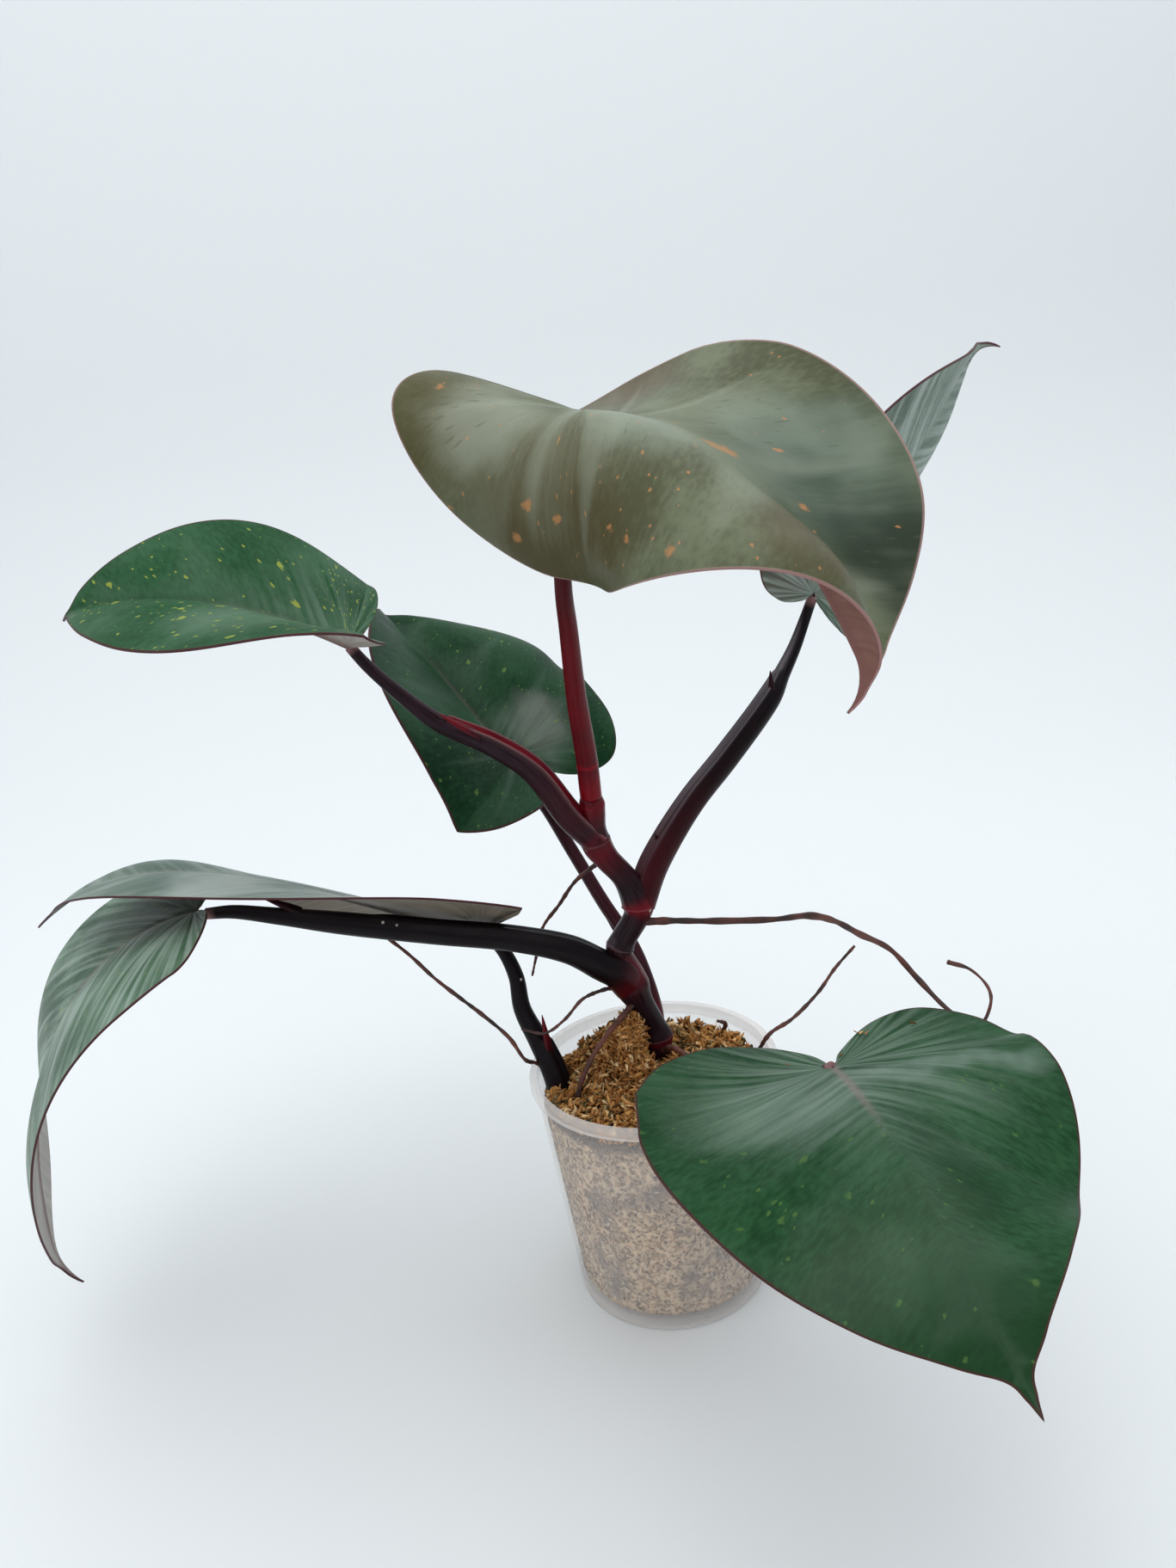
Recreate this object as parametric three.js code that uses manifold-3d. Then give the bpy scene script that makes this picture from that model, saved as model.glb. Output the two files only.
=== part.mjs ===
// Potted orange princess philodendron: a clear nursery pot, sphagnum moss, a zig-zag stem,
// seven leaves on their petioles and eight aerial roots.
// Millimetres, +Z up. The origin is the centre of the pot's base, on the surface it stands on.
// +X is to the right and -Y is toward the viewer when the plant is seen from its front.
import * as THREE from 'three';
import { mergeVertices } from 'three/addons/utils/BufferGeometryUtils.js';
import Module from 'manifold-3d';

const wasm = await Module();
wasm.setup();

// Driving dimensions
const GAP = 0.3;            // clearance between pieces that touch
const RIM_RADIUS = 44;      // pot, outside of the rolled rim
const NECK_RADIUS = 42.2;   // pot wall just under the rim
const FOOT_RADIUS = 34.6;   // pot, outside of the foot ring
const POT_HEIGHT = 86.4;
const LIP_HEIGHT = 4;
const WALL = 1.1;
const FLOOR = 5;            // upper face of the pot floor
const PAD_RADIUS = 11;      // central foot pad
const CHANNEL_HEIGHT = 3.6; // underside of the raised drain channel
const FOOT_WIDTH = 3;       // width of the foot ring
const DRAIN_HOLES = 4;
const DRAIN_RADIUS = 3;
const DRILL_SIDES = 10;
const RIM_ROUND = 0.8;      // how far the rim's corners are rounded off
const FLOOR_CORNER = 1.5;   // inside corner between the wall and the floor
const POT_SEGMENTS = 32;
const MOSS_LEVEL = 77;      // mean height of the moss surface
const MOSS_SIDES = 30;
const MOSS_INSET = 0.4;     // the root ball's own clearance from the pot wall, beside the gap
const MOSS_CORNER = 3;      // bevel round the root ball's underside
const BLADE_THICKNESS = 0.7;
const BLADE_ROWS = 20;      // steps along the margin, from the sinus to the tip
const BLADE_COLUMNS = 4;    // steps from the edge of the midrib out to the margin
const RIB_WIDTH = 1.8;      // midrib, from its middle to its edge
const RIB_DEPTH = 0.9;      // how far the midrib stands out under the blade
const RIB_TAPER = 0.7;      // share of its depth that the midrib has lost at the tip
const RIB_LIMIT = 0.3;      // the midrib never takes more than this share of a half's width
const PETIOLE_SIDES = 10;
const ROOT_SIDES = 5;
const STEM_SIDES = 12;
const TOOTH_RADIUS = 1.5;   // sheath tips
const TOOTH_SIDES = 6;

const COLOURS = {
  pot: 0xe6e9e4, moss: 0xb08a55, stem: 0x3a1a20, petiole: 0x2a161b, crimson: 0x8a1626,
  green: 0x2f5238, grey: 0x5d7464, olive: 0x6d7562, root: 0x5a2f24,
};

const group = new THREE.Group();
const rad = THREE.MathUtils.degToRad;
const lerp = THREE.MathUtils.lerp;

// A closed mesh from corner points and triangles
function closedGeometry(points, triangles) {
  const geometry = new THREE.BufferGeometry();
  geometry.setAttribute('position', new THREE.Float32BufferAttribute(points.flat(), 3));
  geometry.setIndex(triangles.flat());
  return geometry;
}

function toSolid(geometry) {
  const bare = geometry.clone();
  bare.deleteAttribute('normal');
  bare.deleteAttribute('uv');
  const merged = mergeVertices(bare, 1e-4);
  return new wasm.Manifold(new wasm.Mesh({
    numProp: 3,
    vertProperties: new Float32Array(merged.attributes.position.array),
    triVerts: new Uint32Array(merged.index.array),
  }));
}

// The largest body of a cut solid, so that no loose scrap is left
function toGeometry(solid) {
  const bodies = solid.decompose().sort((a, b) => b.volume() - a.volume());
  const mesh = bodies[0].getMesh();
  const geometry = new THREE.BufferGeometry();
  geometry.setAttribute('position', new THREE.BufferAttribute(mesh.vertProperties, 3));
  geometry.setIndex(new THREE.BufferAttribute(mesh.triVerts, 1));
  return geometry;
}

function addPiece(name, geometry, color, roughness, extra = {}) {
  const material = new THREE.MeshStandardMaterial({ color, roughness, metalness: 0, ...extra });
  const mesh = new THREE.Mesh(geometry, material);
  mesh.name = name;
  group.add(mesh);
}

// A tapered tube through stations [x, y, z, radius], with flat ends
function tube(stations, sides, stepsPerSpan, grow = 0) {
  const curve = new THREE.CatmullRomCurve3(stations.map(([x, y, z]) => new THREE.Vector3(x, y, z)));
  const spans = stations.length - 1;
  const rings = spans * stepsPerSpan;
  const points = [];
  const triangles = [];
  let tangent = curve.getTangent(0);
  const start = Math.abs(tangent.z) > 0.9 ? new THREE.Vector3(1, 0, 0) : new THREE.Vector3(0, 0, 1);
  const across = start.cross(tangent).normalize();
  for (let ring = 0; ring <= rings; ring++) {
    const t = ring / rings;
    const nextTangent = curve.getTangent(t);
    across.applyQuaternion(new THREE.Quaternion().setFromUnitVectors(tangent, nextTangent));
    tangent = nextTangent;
    const up = tangent.clone().cross(across).normalize();
    const centre = curve.getPoint(t);
    const span = Math.min(Math.floor(t * spans), spans - 1);
    const radius = grow + lerp(stations[span][3], stations[span + 1][3], t * spans - span);
    for (let side = 0; side < sides; side++) {
      const angle = (2 * Math.PI * side) / sides;
      points.push(centre.clone()
        .addScaledVector(across, radius * Math.cos(angle))
        .addScaledVector(up, radius * Math.sin(angle)).toArray());
    }
  }
  for (let ring = 0; ring < rings; ring++) {
    for (let side = 0; side < sides; side++) {
      const a = ring * sides + side;
      const b = ring * sides + ((side + 1) % sides);
      triangles.push([a, b, b + sides], [a, b + sides, a + sides]);
    }
  }
  const last = rings * sides;
  for (let side = 1; side < sides - 1; side++) {
    triangles.push([0, side + 1, side], [last, last + side, last + side + 1]);
  }
  return closedGeometry(points, triangles);
}

// The pot: a lathed cup with a rolled rim, a foot ring, a raised drain channel and a foot pad
function potGeometry() {
  const channelIn = PAD_RADIUS + 2;
  const channelOut = FOOT_RADIUS - FOOT_WIDTH;
  const under = POT_HEIGHT - LIP_HEIGHT;
  const neckIn = NECK_RADIUS - WALL;
  const footIn = FOOT_RADIUS - WALL;
  const profile = [
    [0, 0], [PAD_RADIUS, 0], [channelIn, CHANNEL_HEIGHT], [channelOut - 1, CHANNEL_HEIGHT],
    [channelOut, 0], [FOOT_RADIUS, 0], [NECK_RADIUS, under],
    [RIM_RADIUS - RIM_ROUND, under], [RIM_RADIUS, under + RIM_ROUND],
    [RIM_RADIUS, POT_HEIGHT - RIM_ROUND], [RIM_RADIUS - RIM_ROUND, POT_HEIGHT],
    [neckIn + RIM_ROUND, POT_HEIGHT], [neckIn, POT_HEIGHT - RIM_ROUND], [neckIn, under],
    [footIn, FLOOR + FLOOR_CORNER], [footIn - FLOOR_CORNER, FLOOR], [0, FLOOR],
  ];
  let pot = toSolid(new THREE.LatheGeometry(profile.map(([r, z]) => new THREE.Vector2(r, z)), POT_SEGMENTS)
    .rotateX(Math.PI / 2));
  for (let hole = 0; hole < DRAIN_HOLES; hole++) {
    const angle = (Math.PI * (2 * hole + 1)) / DRAIN_HOLES;
    const drill = new THREE.CylinderGeometry(DRAIN_RADIUS, DRAIN_RADIUS, 3 * FLOOR, DRILL_SIDES)
      .rotateX(Math.PI / 2);
    const reach = (channelIn + channelOut) / 2;
    drill.translate(reach * Math.cos(angle), reach * Math.sin(angle), FLOOR);
    pot = pot.subtract(toSolid(drill));
  }
  return toGeometry(pot);
}

// Mounds on the moss: where, how high and how wide
const MOUNDS = [
  { x: -6, y: 24, height: 10, spread: 8 },
  { x: 26, y: 12, height: 3, spread: 9 },
];

// Height of the moss: a level bed with its mounds and the waves of shredded moss
function mossHeight(x, y) {
  let height = MOSS_LEVEL;
  for (const mound of MOUNDS) {
    const distance = Math.hypot(x - mound.x, y - mound.y);
    height += mound.height * Math.exp(-((distance / mound.spread) ** 2) / 2);
  }
  height += 1.3 * Math.sin(0.42 * x + 1) * Math.cos(0.37 * y);
  return height + 0.8 * Math.sin(0.9 * x - 0.7 * y);
}

// The root ball: it fills the pot to the wall, less the clearance
function mossGeometry() {
  const topFractions = [0.97, 0.8, 0.6, 0.4, 0.2];
  const wallAt = (z) => lerp(FOOT_RADIUS, NECK_RADIUS, z / (POT_HEIGHT - LIP_HEIGHT)) - WALL - GAP;
  const bottom = FLOOR + GAP;
  const levels = [bottom + MOSS_CORNER, MOSS_LEVEL / 2, MOSS_LEVEL - MOSS_CORNER];
  const points = [[0, 0, bottom]];
  const ring = (wall, heightAt) => {
    const radius = wall * Math.cos(Math.PI / POT_SEGMENTS);
    for (let k = 0; k < MOSS_SIDES; k++) {
      const angle = (2 * Math.PI * k) / MOSS_SIDES;
      const x = radius * Math.cos(angle);
      const y = radius * Math.sin(angle);
      points.push([x, y, heightAt(x, y)]);
    }
  };
  ring(wallAt(bottom) - MOSS_INSET - MOSS_CORNER, () => bottom);
  for (const level of levels) ring(wallAt(level) - MOSS_INSET, () => level);
  for (const fraction of topFractions) ring(fraction * wallAt(MOSS_LEVEL), mossHeight);
  points.push([0, 0, mossHeight(0, 0)]);
  const rings = 1 + levels.length + topFractions.length;
  const triangles = [];
  for (let k = 0; k < MOSS_SIDES; k++) {
    const next = (k + 1) % MOSS_SIDES;
    triangles.push([0, 1 + next, 1 + k]);
    for (let r = 0; r < rings - 1; r++) {
      const lower = 1 + r * MOSS_SIDES;
      const upper = lower + MOSS_SIDES;
      triangles.push([lower + k, lower + next, upper + next], [lower + k, upper + next, upper + k]);
    }
    const top = 1 + (rings - 1) * MOSS_SIDES;
    triangles.push([top + k, top + next, points.length - 1]);
  }
  return closedGeometry(points, triangles);
}

// The stem: short internodes that zig-zag between swollen nodes
const STEM = [
  [1, 14, 62, 4.2], [2, 14, 76, 4.6], [3, 14, 85, 5.2], [3, 14, 88, 5.6], [2, 14, 92, 4.7],
  [-2, 13, 103, 4.9], [-4, 13, 109, 6.4], [-5, 13, 114, 5.6], [-7, 12, 122, 4.6],
  [-7, 12, 125, 5], [-5, 12, 129, 4.5], [0, 11, 137, 4.6], [1, 11, 141, 5.6],
  [0, 11, 146, 5.2], [-3, 10, 153, 4.3], [-8, 10, 160, 4.4], [-11, 10, 166, 5.2],
  [-11.5, 9, 172, 4.4], [-11, 8, 178, 4.2], [-11, 8, 181, 4.4], [-11, 7, 184, 3.6],
];

// Petioles: stations [x, y, z, radius] from the stem, or the moss, up to the blade
const PETIOLES = {
  petiole_a: [[-5, 13, 110, 6.2], [-9, 10, 117, 6], [-14, 8, 121, 5.4], [-24, 6, 129, 4.9],
    [-42, 5, 136, 4.4], [-71, 4, 143, 4.2], [-100, 4, 150, 4], [-122, 5, 155, 3],
    [-137, 6, 158, 2.4], [-146, 6, 158.4, 2]],
  petiole_b: [[2, 11, 141, 5], [7, 14, 152, 5.2], [13, 16, 161, 5], [24, 20, 174, 4.6],
    [38, 25, 187, 4.4], [55, 32, 204, 4], [61, 38, 211, 3], [67, 43, 219, 2.4], [72, 46, 228.4, 2],
    [74.8, 44, 236.4, 1.8]],
  petiole_c: [[-11, 10, 167, 4.8], [-19, 6, 178, 4.6], [-29, 3, 196, 4], [-41, 1, 207, 3.6],
    [-57, 0, 217, 3], [-70, 0, 230, 2.3], [-77, 1, 238, 2], [-81.1, 0.4, 244.4, 1.8]],
  petiole_d: [[-11, 6.88, 184.35, 3.7], [-11, 2, 198, 3.6], [-12, -12, 223, 3.2],
    [-12, -27, 246, 2.8], [-12, -38, 261, 2.5], [-10, -46, 281, 2.3], [-5, -50, 296, 2.1],
    [0.2, -50.8, 304.7, 1.8]],
  petiole_e: [[2, 17, 84, 4], [3, 24, 92, 3.6], [1, 31, 104, 3.2], [-2, 36, 114, 2.8],
    [-11, 44, 130, 2.6], [-20, 53, 147.5, 2.5], [-29.7, 60, 166.9, 2.4], [-37.2, 63.4, 177.2, 2.2],
    [-39, 62.6, 185.2, 1.8]],
  petiole_f: [[-30, -1, 62, 4], [-33.5, 1, 74, 4.2], [-35.8, 4, 85, 4.2], [-39.5, 6, 96, 3.8],
    [-44, 10, 107, 3.2], [-45, 14, 118, 2.8], [-49, 17, 128, 2.4], [-55.4, 18.9, 134.7, 2]],
  petiole_g: [[11, -1, 62, 4.2], [15, -9, 76, 4], [21, -23, 90, 3.7], [29, -43, 102, 3.3],
    [37, -64, 113, 2.7], [43, -79, 122, 2.2], [46.3, -84, 126.9, 1.9]],
};

// Sheath tips: small teeth where a petiole's wings end, [x, y, z] then the way they point
const SHEATH_TIPS = {
  petiole_a: [[-117, 4, 158, -9, 0, 5]],
  petiole_b: [[57, 31, 207.5, 1, -1, 10], [9.5, 13, 158, -3, -1, 7]],
  petiole_c: [[-57, -1, 219.5, -6, -1, 7]],
  petiole_f: [[-37.5, 3, 93, 2, -1, 9]],
};

// Aerial roots, from where they grow out to their free tip or into the moss
const ROOTS = {
  root_right: [[3, 9, 135.5, 1.3], [12, 6, 136, 1.2], [26, 4, 135, 1.1], [47, 4, 133, 1.1],
    [60, 8, 131, 1.2], [70, 14, 125, 1.2], [80, 20, 116, 1.1], [93, 26, 105, 1.1],
    [101, 20, 95, 1], [108, 8, 88, 0.9], [114, -6, 88, 0.8], [118, -7, 97, 0.6],
    [119, -2, 100.5, 0.55], [115, 4, 105, 0.55], [107, 4, 109, 0.9]],
  root_rim_right: [[34, 5, 70, 0.8], [38, 4, 82, 0.8], [42.5, 2, 90.2, 0.75], [51, 5, 93.2, 0.7],
    [62, 10, 100, 0.65], [69, 13, 107, 0.6], [77, 15, 114, 0.5]],
  root_back: [[-8, 13, 159, 0.9], [-13, 17, 155, 0.8], [-20, 20, 149, 0.7], [-27, 24, 139, 0.7],
    [-34, 26, 130, 0.6], [-38, 26, 118, 0.5], [-40, 25, 112, 0.4]],
  root_left: [[-90, 12, 142, 0.6], [-80, 7, 134, 0.65], [-72, 3, 126, 0.65], [-64, 0, 119, 0.7],
    [-57, -1, 112, 0.7], [-49, -1, 102, 0.7], [-44.5, 0, 92, 0.7], [-41, 3, 88.4, 0.7],
    [-37.5, 8, 80, 0.7], [-36, 12, 70, 0.7]],
  root_front_left: [[-11, 8, 112, 0.8], [-15, 3, 114, 0.7], [-22, -2, 114, 0.6],
    [-29, -6, 109, 0.55], [-36, -8, 106, 0.5], [-44, -5, 107, 0.4]],
  root_front: [[-5, 9, 104, 1.1], [-10, 3, 102, 1], [-17, -4, 98, 0.9], [-23, -8, 91, 0.9],
    [-27, -10, 83, 0.9], [-28, -11, 70, 0.9]],
  root_short: [[4, 10, 84, 1.2], [8, 5, 87, 1.1], [13, 0, 85, 1], [16, -3, 79, 1], [17, -4, 70, 1]],
  root_stub: [[27, 24, 70, 0.8], [28, 24, 80, 0.8], [29, 22, 85, 0.8], [26, 21, 87, 0.5]],
};

// Leaves. at: the sinus, where blade and petiole meet. heading, pitch, roll: how the midrib sets
// off, in degrees. droop: how fast the midrib bends down at its base and at its tip, side: how it
// bends in the blade's plane, twist: how the blade turns about it, all in degrees per blade length.
// hook: how far the drawn-out tip bends down besides. Each half has its width, its basal lobe,
// the fold at the midrib at base, middle and tip, the curl across its width at base and tip and
// the lift of the lobe.
const LEAVES = {
  blade_a: { at: [-149.5, 6, 159.7], heading: 186, pitch: -4, roll: -15, droop: [174, 1],
    side: -10, twist: 51, hook: 38, length: 167, color: COLOURS.grey,
    left: { width: 49, lobe: 8, fold: [-16, 5, 23], curl: [-2, -34], lift: 33 },
    right: { width: 43, lobe: 2, fold: [16, 6, -23], curl: [2, 0], lift: -20 } },
  blade_b: { at: [75, 43.4, 237], heading: 17, pitch: 42, roll: -107, droop: [19, 19],
    side: 7, twist: -58, hook: -87, length: 123, color: COLOURS.green,
    left: { width: 47, lobe: 13, fold: [10, -4, -7], curl: [9, 11], lift: -9 },
    right: { width: 31, lobe: 3, fold: [34, 16, 32], curl: [-52, -49], lift: 0 } },
  blade_c: { at: [-81.3, 0, 245.3], heading: 190, pitch: 33, roll: 20, droop: [32, 99],
    side: -2, twist: 44, hook: 22, length: 99, color: COLOURS.green,
    left: { width: 43, lobe: 8, fold: [40, 31, 31], curl: [-14, -17], lift: 10 },
    right: { width: 41, lobe: 5, fold: [18, 18, 9], curl: [-27, -41], lift: 20 } },
  blade_d: { at: [0.7, -50.8, 305.4], heading: -31, pitch: -3, roll: 21, droop: [120, 7],
    side: -11, twist: -7, hook: 69, length: 114, color: COLOURS.olive,
    left: { width: 71, lobe: 30, fold: [11, 3, 10], curl: [48, 93], lift: -11 },
    right: { width: 64, lobe: 48, fold: [-5, 9, 58], curl: [-161, -196], lift: 32 } },
  blade_e: { at: [-39.1, 62.4, 186], heading: 172, pitch: 50, roll: 23, droop: [-12, 50],
    side: 37, twist: -49, hook: 12, length: 81, color: COLOURS.green,
    left: { width: 66, lobe: 17, fold: [37, 15, -4], curl: [-53, 22], lift: 56 },
    right: { width: 60, lobe: 30, fold: [36, 52, 58], curl: [-55, -76], lift: -1 } },
  blade_f: { at: [-55.9, 19.2, 134.9], heading: 200, pitch: 26, roll: -4, droop: [-29, 181],
    side: 44, twist: 22, hook: -14, length: 177, color: COLOURS.grey,
    left: { width: 36, lobe: 2, fold: [30, 10, 4], curl: [-2, 2], lift: -2 },
    right: { width: 46, lobe: 21, fold: [3, -10, 6], curl: [-51, -56], lift: 6 } },
  blade_g: { at: [46.7, -83.9, 127.1], heading: -84, pitch: 13, roll: 15, droop: [18, 123],
    side: -3, twist: -47, hook: -33, length: 112, color: COLOURS.green,
    left: { width: 56, lobe: 14, fold: [15, -26, -29], curl: [0, 0], lift: 46 },
    right: { width: 58, lobe: 21, fold: [-25, -12, -2], curl: [26, 7], lift: 20 } },
};

// Half of the heart-shaped outline, from the sinus round the basal lobe to the drawn-out tip.
// x is a share of the half's width. y is a share of the blade's length, and behind the sinus
// it is a share of the lobe.
const OUTLINE = new THREE.CatmullRomCurve3([
  [0, 0], [0.08, -0.44], [0.27, -0.87], [0.54, -1], [0.82, -0.62], [0.97, 0.02], [1, 0.2],
  [0.93, 0.39], [0.74, 0.585], [0.46, 0.75], [0.2, 0.865], [0.06, 0.92], [0.022, 0.96], [0, 1],
].map(([x, y]) => new THREE.Vector3(x, y, 0)), false, 'catmullrom', 0.5);
const VEIN_LEAD = 0.25;     // how far behind its end a side vein leaves the midrib, where widest
const FOLD_END = 0.8;       // share of the blade's length past which its fold stays the same
const LIFT_EASE = 0.3;      // share of the lobe over which its lift sets in
const HOOK_START = 0.86;    // share of the midrib past which the drawn-out tip hooks down
const MIDRIB_STEPS = 60;
const LEAST_BEND = 0.002;   // stands in for a curl of nothing, in radians

// Frames along the midrib: each holds the place, the forward, the across and the normal vectors
function midribFrames(leaf) {
  const heading = rad(leaf.heading);
  const pitch = rad(leaf.pitch);
  const forward = new THREE.Vector3(
    Math.cos(pitch) * Math.cos(heading), Math.cos(pitch) * Math.sin(heading), Math.sin(pitch));
  const across = new THREE.Vector3(Math.sin(heading), -Math.cos(heading), 0)
    .applyAxisAngle(forward, -rad(leaf.roll));
  const frames = [];
  const place = new THREE.Vector3(...leaf.at);
  const stride = leaf.length / MIDRIB_STEPS;
  for (let step = 0; step <= MIDRIB_STEPS; step++) {
    const normal = across.clone().cross(forward);
    frames.push({ place: place.clone(), forward: forward.clone(), across: across.clone(), normal });
    place.addScaledVector(forward, stride / 2);
    const share = (step + 0.5) / MIDRIB_STEPS;
    const hook = share > HOOK_START ? leaf.hook / (1 - HOOK_START) : 0;
    const droop = lerp(leaf.droop[0], leaf.droop[1], share) + hook;
    forward.applyAxisAngle(across, -rad(droop) / MIDRIB_STEPS);
    const upward = across.clone().cross(forward);
    forward.applyAxisAngle(upward, -rad(leaf.side) / MIDRIB_STEPS);
    across.applyAxisAngle(upward, -rad(leaf.side) / MIDRIB_STEPS);
    across.applyAxisAngle(forward, -rad(leaf.twist) / MIDRIB_STEPS);
    place.addScaledVector(forward, stride / 2);
  }
  return frames;
}

// A place on the blade's middle surface, w across from the midrib and s along it, and the way
// its upper face looks there
function bladePlace(leaf, frames, half, sign, w, s) {
  const share = THREE.MathUtils.clamp(s / leaf.length, 0, 1);
  const index = Math.min(Math.floor(share * (frames.length - 1)), frames.length - 2);
  const part = share * (frames.length - 1) - index;
  const mix = (key) => frames[index][key].clone().lerp(frames[index + 1][key], part);
  const t = THREE.MathUtils.smoothstep(share, 0, FOLD_END);
  const [base, middle, tip] = half.fold;
  const fold = rad(base * (1 - t) * (1 - 2 * t) + 4 * middle * t * (1 - t) + tip * t * (2 * t - 1));
  const bend = rad(lerp(half.curl[0], half.curl[1], share)) || LEAST_BEND;
  const turned = (bend * w) / half.width;
  const out = (half.width / bend) * (Math.sin(fold + turned) - Math.sin(fold));
  const lift = (half.width / bend) * (Math.cos(fold) - Math.cos(fold + turned));
  const behind = Math.min(s, 0);
  const lobeLift = behind ** 2 / (LIFT_EASE * half.lobe - behind) * Math.sin(rad(half.lift));
  const across = mix('across').normalize();
  const normal = mix('normal').normalize();
  const point = mix('place').addScaledVector(mix('forward'), behind)
    .addScaledVector(across, sign * out)
    .addScaledVector(normal, lift + lobeLift);
  const tilt = w > 0 ? fold + turned : 0;
  const up = normal.multiplyScalar(Math.cos(tilt)).addScaledVector(across, -sign * Math.sin(tilt));
  return { point, up };
}

// The blade as a closed shell: upper and lower face share one pattern of triangles
function bladeGeometry(leaf, thickness, widen = 0) {
  const frames = midribFrames(leaf);
  const upper = [];
  const lower = [];
  const triangles = [];
  const addPoint = ({ point, up }, rib) => {
    upper.push(point.clone().addScaledVector(up, thickness / 2));
    lower.push(point.clone().addScaledVector(up, -thickness / 2 - rib));
    return upper.length - 1;
  };
  const midrib = [];
  const midribShare = (row) => {
    const edge = OUTLINE.getPoint(row / BLADE_ROWS);
    return Math.max(0, edge.y - VEIN_LEAD * edge.x);
  };
  const midribStation = (share) => (share > 0 ? share * leaf.length : -widen);
  for (let row = 0; row <= BLADE_ROWS; row++) {
    const share = midribShare(row);
    const shared = row > 0 && share === 0;
    const narrow = Math.min(leaf.left.width, leaf.right.width);
    const room = row === 0 ? narrow : OUTLINE.getPoint(row / BLADE_ROWS).x * narrow;
    const fit = THREE.MathUtils.clamp(RIB_LIMIT * room / RIB_WIDTH, 0, 1);
    const rib = RIB_DEPTH * fit * (1 - RIB_TAPER * share) * (row === 0 ? 0.5 : 1);
    const ribPlace = bladePlace(leaf, frames, leaf.left, 1, 0, midribStation(share));
    midrib.push(shared ? midrib[0] : addPoint(ribPlace, rib));
  }
  for (const [half, sign] of [[leaf.left, -1], [leaf.right, 1]]) {
    const grid = [];
    for (let row = 0; row <= BLADE_ROWS; row++) {
      const edge = OUTLINE.getPoint(row / BLADE_ROWS);
      const grown = row === 1 ? -widen : widen;
      const edgeW = Math.max(edge.x, 0) * half.width + (row > 0 && row < BLADE_ROWS ? grown : 0);
      const edgeS = edge.y < 0 ? edge.y * half.lobe : edge.y * leaf.length;
      const from = midribStation(midribShare(row));
      const ribShare = Math.min(RIB_LIMIT, RIB_WIDTH / Math.max(edgeW, 1));
      const line = [midrib[row]];
      for (let column = 0; column <= BLADE_COLUMNS; column++) {
        const share = lerp(ribShare, 1, column / BLADE_COLUMNS);
        const pointed = row === 0 || row === BLADE_ROWS;
        line.push(pointed ? midrib[row] : addPoint(
          bladePlace(leaf, frames, half, sign, share * edgeW, lerp(from, edgeS, share)), 0));
      }
      grid.push(line);
    }
    for (let row = 1; row < BLADE_ROWS; row++) {
      for (let column = 0; column <= BLADE_COLUMNS; column++) {
        const [a, b] = [grid[row][column], grid[row][column + 1]];
        const [c, d] = [grid[row + 1][column + 1], grid[row + 1][column]];
        for (const face of [[a, b, c], [a, c, d]]) {
          if (new Set(face).size === 3) triangles.push(sign > 0 ? face : [face[0], face[2], face[1]]);
        }
      }
    }
  }
  return joinFaces(upper, lower, triangles);
}

// An upper and a lower face with the same triangles, joined by a wall along their free edges
function joinFaces(upper, lower, triangles) {
  const count = upper.length;
  const faces = [];
  const edges = new Map();
  for (const [a, b, c] of triangles) {
    faces.push([a, b, c], [count + a, count + c, count + b]);
    for (const [from, to] of [[a, b], [b, c], [c, a]]) {
      if (!edges.delete(`${to}_${from}`)) edges.set(`${from}_${to}`, [from, to]);
    }
  }
  for (const [from, to] of edges.values()) {
    faces.push([from, count + from, count + to], [from, count + to, to]);
  }
  return closedGeometry([...upper, ...lower].map((point) => point.toArray()), faces);
}

// A small tooth that ends a petiole's sheath
function tooth([x, y, z, dx, dy, dz]) {
  const way = new THREE.Vector3(dx, dy, dz);
  const length = way.length();
  const cone = new THREE.ConeGeometry(TOOTH_RADIUS, length, TOOTH_SIDES);
  cone.translate(0, length / 2 - TOOTH_RADIUS, 0);
  const turn = new THREE.Quaternion().setFromUnitVectors(new THREE.Vector3(0, 1, 0), way.normalize());
  cone.applyQuaternion(turn);
  return toSolid(cone.translate(x, y, z));
}

// Everything that grows: each piece is cut clear of the one it springs from
const stemRoom = toSolid(tube(STEM, STEM_SIDES, 1, GAP));
addPiece('stem', tube(STEM, STEM_SIDES, 1), COLOURS.stem, 0.35);

const petioleRooms = [];
for (const [name, stations] of Object.entries(PETIOLES)) {
  const leaf = LEAVES[name.replace('petiole', 'blade')];
  const bladeRoom = toSolid(bladeGeometry(leaf, BLADE_THICKNESS + 2 * GAP, GAP));
  let petiole = toSolid(tube(stations, PETIOLE_SIDES, 2));
  for (const tip of SHEATH_TIPS[name] ?? []) petiole = petiole.add(tooth(tip));
  petiole = petiole.subtract(bladeRoom);
  for (const room of [stemRoom, ...petioleRooms]) petiole = petiole.subtract(room);
  addPiece(name, toGeometry(petiole), name === 'petiole_d' ? COLOURS.crimson : COLOURS.petiole, 0.35);
  petioleRooms.push(toSolid(tube(stations, PETIOLE_SIDES, 2, GAP)));
}

for (const [name, leaf] of Object.entries(LEAVES)) {
  addPiece(name, bladeGeometry(leaf, BLADE_THICKNESS), leaf.color, 0.45, { side: THREE.DoubleSide });
}

const rootRooms = [];
for (const [name, stations] of Object.entries(ROOTS)) {
  let root = toSolid(tube(stations, ROOT_SIDES, 2));
  for (const room of [stemRoom, ...petioleRooms, ...rootRooms]) root = root.subtract(room);
  addPiece(name, toGeometry(root), COLOURS.root, 0.7);
  rootRooms.push(toSolid(tube(stations, ROOT_SIDES, 2, GAP)));
}

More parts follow.
